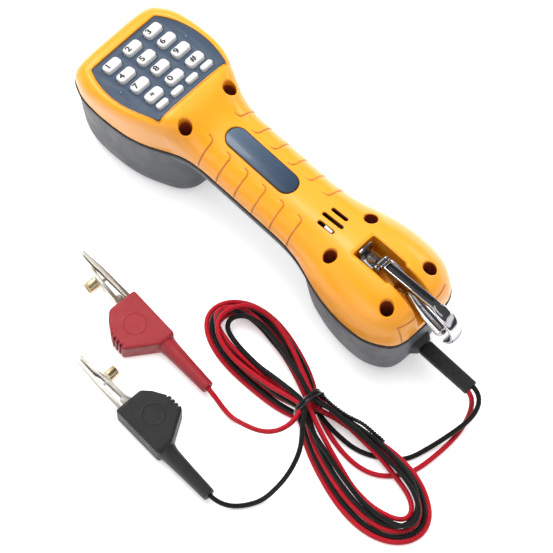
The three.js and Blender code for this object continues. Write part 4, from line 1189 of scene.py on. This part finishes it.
def key_places():
    """Every key: its name, size, place along and across the panel, and its sign."""
    for i, name in enumerate(KEY_NAMES):
        along, across = (i // 3 - 1.5) * KEY_PITCH["along"], (i % 3 - 1) * KEY_PITCH["across"]
        yield name, KEY, along, across, SIGN_OF.get(name, name[-1])
    for i in range(4):
        yield f"function_key_{i + 1}", FUNCTION_KEY, FUNCTION_ROW, (i - 1.5) * FUNCTION_PITCH, ""


def raised_sign(text, x, y, low, high):
    """A raised digit, star or hash, read with the ear end upwards."""
    style = STYLE_OF.get(text, DIGIT_STYLE)
    font = bpy.data.curves.new("sign", "FONT")
    font.body = text
    font.size = style["size"]
    font.offset = style["bold"]
    font.align_x, font.align_y = "CENTER", "CENTER"
    font.extrude = (high - low) / 2
    font.resolution_u = 6
    mesh = solid_from(font, 1e-4)
    middle = sum((v.co for v in mesh.vertices), Vector()) / len(mesh.vertices)
    place = Matrix.Translation((x, y + style["across"], (low + high) / 2))
    centring = Matrix.Translation((0, -middle.y if text == "*" else 0, 0))
    mesh.transform(place @ Matrix.Rotation(math.pi / 2, 4, "Z") @ centring)
    mesh.materials.clear()
    mesh.materials.append(INK)
    return new_object("sign", mesh)


def make_key(name, size, x, y, sign):
    """A pillow-shaped key cap with its foot under the panel."""
    lap, foot_top, top = KEY_FOOT["lap"], KEY_BOTTOM + KEY_FOOT["thick"], size["proud"]
    profile = [(-lap, KEY_BOTTOM), (-lap, foot_top), (0, foot_top)]
    profile += [(inset, top - down) for inset, down in KEY_CROWN]
    rings = []
    for inset, z in profile:
        corner = max(size["corner"] - max(inset, 0) * 0.9, 0.2)
        outline = rounded_rectangle(size["along"] - 2 * inset, size["across"] - 2 * inset, corner)
        rings.append([(x + px, y + py, z) for px, py in outline])
    key = loft(name, rings)
    key.data.materials.append(KEY_WHITE)
    if sign:
        key = merge(key, raised_sign(sign, x, y, top - SIGN_SUNK, top + SIGN_PROUD))
    settle(from_pad(key), f"{name}_cap", KEY_WHITE, name, body=name, angle=30)


def make_panel():
    holes = []
    for _, size, x, y, _ in key_places():
        along, across = (size[way] + 2 * KEY_GAP for way in ("along", "across"))
        opening = rounded_rectangle(along, across, size["corner"])
        holes.append([(x + px, y + py) for px, py in opening])
    holes += [arc(0, side * LAMP_SIDE, 1.5, 0, 345, 23) for side in (-1, 1)]
    panel = bevel(flat_piece([panel_outline(0.1), *holes], -1.5, 0), 0.22, 2)
    settle(from_pad(panel), "keypad_face", PANEL_BLUE, "keypad_panel", angle=35)
    for name, side in (("lamp_left", -1), ("lamp_right", 1)):
        dome = turned(LAMP_DOME, 28, (0, side * LAMP_SIDE, 0))
        settle(from_pad(dome), f"{name}_lens", LAMP, name)


def make_talk_switch():
    y = SLOTS[0][0]
    knob, slider = (bevel(box(SLOT_X + start, SLOT_X + end, y - half, y + half, low, high), edge)
                    for start, end, half, low, high, edge in TALK_SWITCH)
    settle(join(knob, slider), "talk_slider", KEY_WHITE, "talk_switch", body="talk_switch")


def dress(node, look):
    """Gives a carried-over CAD node its own material."""
    mesh = bpy.data.objects[node].data
    mesh.materials.clear()
    mesh.materials.append(look)


make_upper_shell()
make_lower_shell()
make_gasket()
make_grilles()
make_shell_screws()
make_label()
make_panel()
for key in key_places():
    make_key(*key)
make_talk_switch()
for node, look in {"ear_receiver": BLACK_RUBBER, "microphone": STEEL, "sounder": BLACK_RUBBER,
                   "keypad_membrane": BLACK_RUBBER, "main_board": BOARD_GREEN}.items():
    dress(node, look)


# ---------------------------------------------------------------- belt hook

PIN_RADIUS = 1.3
HOOK_SPINE_HALF, HOOK_BOW_HALF, HOOK_SHEET = 2.8, 4.3, 1.0          # half widths, and the sheet's thickness
BOW = {"x": 43.3, "z": -6.4, "outer": 15.6, "band": 3.4, "from": 104, "to": -50}     # from and to in degrees
BOW_CREST = 9.04                             # the bow is flat above this height
GATE_PIN = {"x": 17.2, "z": -3.6}
GATE_OUTER = [(16, -6.6), (28, -12), (36, -15.6), (42.4, -18.8), (48.6, -19)]
GATE_INNER = [(20, -0.6), (36, -8.4), (48, -12.8), (50.4, -15.6)]
SHANK_END = {"from": 9.6, "to": 12.4}
SPINE_START, SPINE_TOP = 3.5, 5.2
SPINE_INSIDE = HOOK_SPINE_HALF - HOOK_SHEET
RIVET_END = [(0.5, 3.5), (1.2, 3.3), (1.5, 2.9)]
SPINE_ROOF = 2.3                             # the underside of the sheet that joins the spine's two sides
BRACKET = {"from": 77.6, "to": 88.4, "half": 4.6, "top": 73.6, "thick": 1.4, "heel_top": 80.6,
           "screw_x": 83.4}


def make_bracket():
    start, end, half, top, thick = (BRACKET[key] for key in ("from", "to", "half", "top", "thick"))
    low = RECESS["floor"] + GAP
    bracket = join(sheet_box(start, end, -half, half, top - thick, top),
                   sheet_box(start, start + thick, -half, half, low, BRACKET["heel_top"]),
                   sheet_box(end - thick, end, -half, half, low, top))
    for side in (-1, 1):
        y = side * (half - thick / 2)
        ear = on_edge([*arc(HOOK_TURN.x, HOOK_TURN.z, 2.2, -60, 120, 14), (end - 0.5, top),
                       (end - 0.5, top - 4), (HOOK_TURN.x + 1, top - 4)], thick / 2, 0.2)
        ear.data.transform(Matrix.Translation((0, y, 0)))
        join(bracket, ear)
    rim = PIN_RADIUS + 0.4
    head = [(0.9, half + 0.5), (rim, half + 0.3), (rim, half), (PIN_RADIUS, half)]
    join(bracket, turned(both_ways(head), 28, HOOK_TURN, "Y"))
    cut(bracket, cylinder(BRACKET["screw_x"], 0, top - 5, top + 5, 1.8, 20))
    settle(bracket, "bracket_folded", CHROME, "clip_bracket", angle=30)
    screw = make_phillips(BRACKET["screw_x"], 0, top + GAP, top + 2.4, 3.2, low)
    settle(screw, "clip_screw_head", STEEL, "clip_screw")


def at_hook(piece):
    piece.data.transform(Matrix.Translation(HOOK_TURN))
    return piece


def make_swivel():
    barrel = turned(both_ways([(2.3, 2.7), (2.7, 2.4)]), 36, axis="Y")
    stem = rod(1.5, 1.6, SHANK_END["to"] + 0.6, 28, axis="X")
    head = turned([(SPINE_INSIDE - 0.1, SHANK_END["to"] + GAP), (SPINE_INSIDE - 0.1, SHANK_END["to"] + 1.5),
                   (1.2, SHANK_END["to"] + 1.8)], 28, axis="X")
    bore = rod(PIN_RADIUS + 0.25, -5, 5, 28, axis="Y")
    settle(at_hook(cut(join(barrel, stem, head), bore)), "swivel_stem", CHROME, "clip_swivel",
           body="clip_swivel", angle=35)


def around_bow(angle, radius):
    return BOW["x"] + radius * math.cos(angle), BOW["z"] + radius * math.sin(angle)


def swept_band(start, end, middle_radius, section):
    """A band bent round the bow's centre: section(t) gives (outward, across) pairs, t from 0 to 1."""
    rings = []
    for t in np.linspace(0, 1, 72):
        angle = math.radians(start + (end - start) * t)
        ring = []
        for out, across in section(t):
            x, z = around_bow(angle, middle_radius + out)
            ring.append((x, across, min(z, BOW_CREST)))
        rings.append(ring)
    return loft("band", rings)


def oval(thick, wide, power, count=36):
    """A rounded section, from a superellipse."""
    angle = np.linspace(0, 2 * math.pi, count, endpoint=False)
    c, s = np.cos(angle), np.sin(angle)
    return [(thick / 2 * np.sign(a) * abs(a) ** (2 / power), wide / 2 * np.sign(b) * abs(b) ** (2 / power))
            for a, b in zip(c, s)]


def bow_section(t):
    """The bow's section: it widens where it leaves the spine, and thins towards its nose."""
    thick = BOW["band"] * (1 - 0.2 * ramp(t, 0.85, 1))
    wide = 2 * HOOK_SPINE_HALF + 2 * (HOOK_BOW_HALF - HOOK_SPINE_HALF) * float(ramp(t, 0.02, 0.16))
    return oval(thick, wide, 2.6)


def make_hook_sheet():
    """The hook's bow and the folded channel it grows from, with a bore for the swivel."""
    pin_x, pin_z = GATE_PIN["x"], GATE_PIN["z"]
    start, bow_x, inside = SPINE_START, BOW["x"], SPINE_INSIDE
    trough = SPINE_ROOF + HOOK_SHEET
    spine = on_edge([(start, SPINE_TOP - 3), (SHANK_END["from"], -2.8), (pin_x - 3, pin_z - 2.6),
                     (pin_x + 2.4, pin_z - 2), (pin_x + 3, pin_z + 3), (pin_x + 8, 3.2),
                     (bow_x - 4, SPINE_TOP + 0.6), (bow_x - 0.5, SPINE_TOP + 1.2),
                     (bow_x - 0.5, SPINE_TOP + 3.8), (bow_x - 5, SPINE_TOP + 3.6),
                     (start + 0.6, SPINE_TOP), (start, SPINE_TOP - 0.6)], HOOK_SPINE_HALF)
    bow = swept_band(BOW["from"], BOW["to"], BOW["outer"] - BOW["band"] / 2, bow_section)
    return cut(join(spine, bow),
               box(start - 1, SHANK_END["from"], -inside, inside, -9, SPINE_ROOF),
               box(SHANK_END["to"], SHANK_END["to"] + 3.4, -inside, inside, -9, SPINE_ROOF),
               box(SHANK_END["to"], pin_x + 9, -inside, inside, pin_z - 9, pin_z + 3.4),
               on_edge([(start + 1, trough), (pin_x + 8, trough + 0.9), (bow_x - 4.5, trough + 3.5),
                        (bow_x - 4.5, 20), (start + 1, 20)], inside, 0),
               rod(1.8, SHANK_END["from"] - 2, SHANK_END["to"] + 1, 24, axis="X"))


def make_snap_hook():
    rivet = turned(both_ways(RIVET_END), 24, (GATE_PIN["x"], 0, GATE_PIN["z"]), "Y")
    tab = sheet_box(3.6, 13.6, HOOK_SPINE_HALF - 0.2, HOOK_SPINE_HALF + 1.1, 1.2, SPINE_TOP + 0.9, edge=0.4)
    hook = merge(join(make_hook_sheet(), tab), rivet)
    settle(at_hook(hook), "snap_hook_body", CHROME, "snap_hook", body="snap_hook", angle=35)


def along_edge(edge, t):
    """The point at a share t of an edge's length."""
    return np.array([np.interp(t * (len(edge) - 1), np.arange(len(edge)), edge[:, k]) for k in (0, 1)])


def make_snap_gate():
    """The sprung cover of the eye: a polished oval leaf from its fork to the nose of the bow."""
    outer, inner = resample(catmull(GATE_OUTER, 0.5), 0.8), resample(catmull(GATE_INNER, 0.5), 0.8)
    rings = []
    for t in np.linspace(0.1, 0.985, 48):
        low, high = along_edge(outer, t), along_edge(inner, t)
        nose = float(ramp(t, 0.9, 1))
        half = (HOOK_BOW_HALF - 0.2) * (0.66 + 0.34 * float(ramp(t, 0, 0.4))) * (1 - 0.45 * nose)
        middle, reach = (low + high) / 2, (high - low) * (0.5 - 0.12 * nose)
        rings.append([(middle[0] + reach[0] * up, half * across, middle[1] + reach[1] * up)
                      for up, across in oval(2, 2, 2.3, 40)])
    leaf = loft("leaf", rings)
    pin_x, pin_z = GATE_PIN["x"], GATE_PIN["z"]
    knuckle = on_edge([(pin_x - 2.2, pin_z - 2.4), (pin_x + 7, pin_z - 6.4), (pin_x + 7, pin_z),
                       (pin_x - 2.2, pin_z + 2.6)], SPINE_INSIDE - GAP, 0.25)
    cut(leaf, box(0, pin_x + 3.6, -9, 9, -30, 9))
    settle(at_hook(join(leaf, knuckle)), "snap_gate_cover", CHROME, "snap_gate", body="snap_gate")


# ---------------------------------------------------------------- cord exit and tie

# The flange's sections: place along X, half width, half height and corner.
FLANGE_SECTIONS = [(116, 10.4, 9, 2.5), (118, 10.1, 8.6, 2.5), (121, 9, 7.4, 2.3), (124, 6.9, 5.7, 2.1),
                   (126, 5.6, 4.5, 2), (126.6, 5.2, 4.2, 2), (127, 4.8, 3.9, 2)]
SLEEVE_CORNER = 1.6
SLEEVE_PITS = [(6.5, 0), (14.4, -1.1), (15.8, 1.1), (23.4, -1.3), (25, 0.9)]
TIE_RADIUS, TIE_TURNS, TAIL_REACH = 1.0, 2.1, 41
TIE_REACH, NECK_HALF = 2.5, 7                # how far along the hank the tie feels for strands, and across
STRAND_RADIUS, STRAND_PITCH, STRAND_STEP = 0.7, 3.6, 0.4


def rounded_section(x, half_y, half_z, corner, z):
    return [(x, y, z + up) for y, up in rounded_rectangle(2 * half_y, 2 * half_z, corner, 5)]


def make_flange():
    z = FLANGE["z"]
    flange = loft("flange", [rounded_section(*section, z) for section in FLANGE_SECTIONS])
    cut(flange, cup_skin(MOUTH_CUP, -0.1, 0))
    join(flange, box(CORD_END - 12, FLANGE["neck"] - 2, -5.6, 5.6, z - 3.6, z + 3.6))
    settle(flange, "cord_flange_moulding", BLACK_RUBBER, "cord_flange", angle=50)


def make_sleeve():
    start, end, z = SLEEVE["from"], SLEEVE["to"], SLEEVE["z"]
    half_y, half_z = SLEEVE["width"] / 2, SLEEVE["height"] / 2
    sizes = [(start, 0.5), (start + 0.2, 0.2), (start + 0.6, 0), (end - 0.6, 0.15), (end - 0.2, 0.3),
             (end, 0.6)]
    sleeve = loft("sleeve", [rounded_section(x, half_y - lost, half_z - lost, SLEEVE_CORNER, z)
                             for x, lost in sizes])
    top = z + half_z
    cut(sleeve, *[cylinder(start + x, y, top - 1, top + 1, 0.38, 14) for x, y in SLEEVE_PITS])
    cut(sleeve, box(end - 1.2, end + 1, -3.1, 3.1, z - 1.35, z + 1.35))
    settle(sleeve, "strain_relief_sleeve", BLACK_RUBBER, "strain_relief", angle=50)


def wire(name, line, radius):
    """A closed round wire along a line."""
    return outward(new_object(name, solid_from(tube(name, line, radius, 2), 1e-5)))


def make_tie(lines):
    """A coated wire round the hank's neck, its ends twisted together along the cord-side lobe."""
    points = np.vstack(lines)
    c, s = math.cos(HANK["turn"]), math.sin(HANK["turn"])
    dx, dy = points[:, 0] - HANK["x"], points[:, 1] - HANK["y"]
    u, v = dx * c + dy * s, dy * c - dx * s
    neck = (np.abs(u) < TIE_REACH) & (np.abs(v) < NECK_HALF)
    half = float(np.abs(v[neck]).max()) + LEAD_RADIUS + TIE_RADIUS
    high = float(points[neck, 2].max()) + LEAD_RADIUS + TIE_RADIUS
    turn = np.linspace(0, 2 * math.pi * TIE_TURNS, 120)
    across = half * np.sign(np.cos(turn)) * np.abs(np.cos(turn)) ** 0.75
    up = high / 2 + 0.4 + (high / 2) * np.sign(np.sin(turn)) * np.abs(np.sin(turn)) ** 0.75
    flat = from_hank(TIE_RADIUS * 2.1 * (turn / (2 * math.pi) - TIE_TURNS / 2), across)
    wraps = wire("wraps", np.column_stack([flat, np.maximum(up, TIE_RADIUS + 0.05)]), TIE_RADIUS)
    reach = np.linspace(0.5, TAIL_REACH, 110)
    edge = np.array([v[(np.abs(u - at) < TIE_REACH) & (v > 0)].max() for at in reach])
    height = np.array([points[(np.abs(u - at) < TIE_REACH) & (v > side - 2), 2].max()
                       for at, side in zip(reach, edge)])
    edge, height = ease(np.column_stack([edge, height]), 5).T
    route = np.column_stack([from_hank(reach, edge + LEAD_RADIUS * 0.75), height + LEAD_RADIUS * 0.9])
    route = resample(route, STRAND_STEP)
    along = np.arange(len(route)) * STRAND_STEP
    twist_radius = 0.6 + 0.9 * np.exp(-(along / 3) ** 2)
    strands = []
    for phase in (0, math.pi):
        twist = 2 * math.pi * along / STRAND_PITCH + phase
        around = np.column_stack([0.35 * np.cos(twist), np.cos(twist), np.sin(twist)])
        strands.append(wire("strand", route + twist_radius[:, None] * around, STRAND_RADIUS))
    settle(merge(wraps, *strands), "twist_tie", TIE_BLACK, "hank_tie", angle=60)


# ---------------------------------------------------------------- clips

BODY = [(-15.5, 12.7), (-15.5, -6), (-11, -10.4), (-1, -16.4), (9, -16.4), (20.5, 1.6), (21, 12.3),
        (19.5, 12.7)]
# The boot's tail: place along X, radius and middle.
TAIL = [(11, 6.2, 5.4), (16, 6.3, 5.7), (19.5, 6.1, 6.0), (22, 5.6, 6.2), (25, 5.1, 6.35), (40, 4.4, 6.4),
        (55.6, 3.95, 6.5), (56.6, 3.8, 6.5), (57, 3.4, 6.5)]
TAIL_Z = 6.6
SOCKET = {"radius": 1.7, "from": 40, "to": 60, "y": 6.5}
GROOVE_FIRST, GROOVE_PITCH, GROOVE_COUNT = -2.2, 2.9, 4         # across the boot's thumb bulge
CAVITY = [(-20, 11.4), (-20, -1.6), (-12, -2.4), (-4, -3), (7, -3), (7, 10.6), (-4, 11.4)]
JAW_LOW, JAW_HIGH, JAW_SHEET = 4.4, 9.4, 0.9
JAW_PIVOT = (-12.4, 4.6)
EAR_HALF = 2.6                               # of the sheet around the jaw pin
FIXED_JAW = [(-55.5, 3.4), (-55.5, 5.4), (-42, 5.3), (-38, 4.2), (-19, 3.4), (-15, 1.4), (-2, 1.4),
             (-2, -0.4), (-15.6, -0.6), (-20, 1.2), (-38, 1.9), (-43, 3.2)]
WEB = [(-21, 2.2), (-20.4, 5.4), (-19, 6.1), (-15.6, 6.2), (-15.6, 0.2)]
MOVING_JAW = [(-55.5, 5.9), (-55.5, 8), (-40, 9.4), (-15, 10.2), (4, 7.2), (4, 5.2), (-14, 7.8), (-19, 7.4),
              (-38, 6.6), (-43, 6.2)]
TOOTH_FIRST, TOOTH_PITCH, TOOTH_COUNT = -54.3, 2.0, 6
FIXED_TEETH_Y, MOVING_TEETH_Y = 5.4, 5.9
BADGE = {"x": 1, "y": -1.2, "radius": 6.6, "height": 0.28}
NAILS_X, NAILS_Y = -36, 1.9 - GAP - 6.6 - 0.6
NAIL_CUP = [(2.9, 0.7), (2.9, 0.1), (3.1, 0), (3.4, 0.1), (3.5, 0.35), (3.5, 6.3), (3.3, 6.6)]
NAIL = [(0.35, 0.5), (0.28, 0.1), (0.02, -0.35)]


def settle_clip(piece, colour, name, look, node, body="handset", angle=35):
    """Moves a piece from its clip's own frame to the handset's, and settles it."""
    clip = CLIPS[colour]
    place = Matrix.Translation((clip["x"], clip["y"], 0)) @ Matrix.Rotation(clip["turn"], 4, "Z")
    piece.data.transform(place @ Matrix.Diagonal((1, clip["side"], 1, 1)))
    settle(outward(piece), f"{colour}_{name}", look, f"{colour}_{node}", body=body, angle=angle)


def boot_relief(place, normal):
    """A raised ring on the boot's upper flat face."""
    reach = np.abs(np.hypot(place[:, 0] - BADGE["x"], place[:, 1] - BADGE["y"]) - BADGE["radius"])
    return BADGE["height"] * (1 - ramp(reach, 0.1, 0.55)) * ramp(normal[:, 2], 0.7, 0.9)


def make_boot(colour, look):
    body = bevel(flat_piece([BODY], 0.15, CLIP_THICK), 2.7, 5, 30)
    around = np.linspace(0, 2 * math.pi, 40, endpoint=False)
    tail = loft("tail", [[(x, y + radius * math.cos(a), TAIL_Z + radius * math.sin(a)) for a in around]
                         for x, radius, y in TAIL])
    boot = join(body, tail)
    for i in range(GROOVE_COUNT):
        x = GROOVE_FIRST + GROOVE_PITCH * i
        cut(boot, bevel(box(x - 0.65, x + 0.65, -18.5, -16.4 + 2.2, -1, CLIP_THICK + 1), 0.3, 2))
    socket = rod(SOCKET["radius"], SOCKET["from"], SOCKET["to"], 20, (0, SOCKET["y"], TAIL_Z + 0.4), "X")
    cut(boot, flat_piece([CAVITY], 3.2, CLIP_THICK - 3), socket)
    remesh(boot, 0.36, 3)
    settle_clip(emboss(boot, boot_relief), colour, "boot", look, "clip_boot", angle=180)


def jaw_sheet(outline, open_side):
    """A jaw folded from sheet: a channel on edge, open along one side."""
    jaw = bevel(flat_piece([outline], JAW_LOW, JAW_HIGH), 0.22, 2)
    moved = [(x, y + open_side * JAW_SHEET) for x, y in outline]
    return cut(jaw, flat_piece([moved], JAW_LOW + JAW_SHEET, JAW_HIGH - JAW_SHEET))


def teeth(y, side):
    """Small notches along the tip of a jaw."""
    for i in range(TOOTH_COUNT):
        x = TOOTH_FIRST + TOOTH_PITCH * i
        notch = [(x - 0.7, y + side * 0.5), (x + 0.7, y + side * 0.5), (x, y - side * 0.55)]
        yield flat_piece([notch], JAW_LOW - 1, JAW_HIGH + 1)


def make_fixed_jaw():
    """The jaw held in the boot: a channel with a web, a rib and two small holes in its side."""
    pivot_x, pivot_y = JAW_PIVOT
    low, inside = JAW_LOW + JAW_SHEET, JAW_HIGH - JAW_SHEET
    jaw = join(jaw_sheet(FIXED_JAW, 1),
               box(pivot_x - EAR_HALF, pivot_x + EAR_HALF, -0.8, pivot_y + 0.6, low + 1.2, inside - 1.2),
               bevel(flat_piece([WEB], inside, JAW_HIGH - 0.02), 0.15, 2),
               sheet_box(-34, -32.2, 3.2, 6.2, inside, JAW_HIGH - 0.05, edge=0.12))
    for x, z in ((-23.4, 7.4), (-21.4, 6.6)):
        cut(jaw, rod(0.45, -1, 3.2, 14, (x, 0, z), "Y"))
    return cut(jaw, *teeth(FIXED_TEETH_Y, 1))


def make_moving_jaw():
    """The jaw that turns: a channel with two ears around the pin."""
    pivot_x, pivot_y = JAW_PIVOT
    jaw = jaw_sheet(MOVING_JAW, -1)
    for low in (JAW_LOW, JAW_HIGH - JAW_SHEET):
        join(jaw, box(pivot_x - EAR_HALF, pivot_x + EAR_HALF, pivot_y - 0.6, 9, low, low + JAW_SHEET))
    return cut(jaw, *teeth(MOVING_TEETH_Y, -1))


def make_nail_bed():
    """A brass cup with its spikes inside."""
    y, z = NAILS_Y, (JAW_LOW + JAW_HIGH) / 2
    cup = turned([(radius, y + up) for radius, up in NAIL_CUP], 48, (NAILS_X, 0, z), "Y")
    spike = [(radius, y + up) for radius, up in NAIL]
    spikes = [turned(spike, 10, (NAILS_X + dx, 0, z + dz), "Y")
              for dx, dz in [(0, 0)] + arc(0, 0, 1.7, 0, 315, 7)]
    return merge(cup, *spikes)


def make_jaws(colour):
    pivot_x, pivot_y = JAW_PIVOT
    fixed, moving = (cut(jaw, cylinder(pivot_x, pivot_y, -5, 20, 1.3, 24))
                     for jaw in (make_fixed_jaw(), make_moving_jaw()))
    settle_clip(fixed, colour, "jaw_fixed_sheet", NICKEL, "fixed_jaw")
    settle_clip(moving, colour, "jaw_moving_sheet", NICKEL, "moving_jaw", body=f"{colour}_moving_jaw")
    pin = turned([(0.7, JAW_LOW - 0.1), (1, JAW_LOW + 0.1), (1, JAW_HIGH - 0.1), (0.7, JAW_HIGH + 0.1)], 24,
                 (pivot_x, pivot_y, 0))
    settle_clip(pin, colour, "pin", STEEL, "jaw_pin")
    settle_clip(make_nail_bed(), colour, "nails", BRASS, "nail_bed", angle=30)


make_bracket()
make_swivel()
make_snap_hook()
make_snap_gate()
make_flange()
make_sleeve()
make_tie([line for _, line in leads.values()])
for colour, look in (("red", BOOT_RED), ("black", BOOT_BLACK)):
    make_boot(colour, look)
    make_jaws(colour)

for colour, (piece, line) in leads.items():
    length = float(np.linalg.norm(np.diff(line, axis=0), axis=1).sum()) * MM
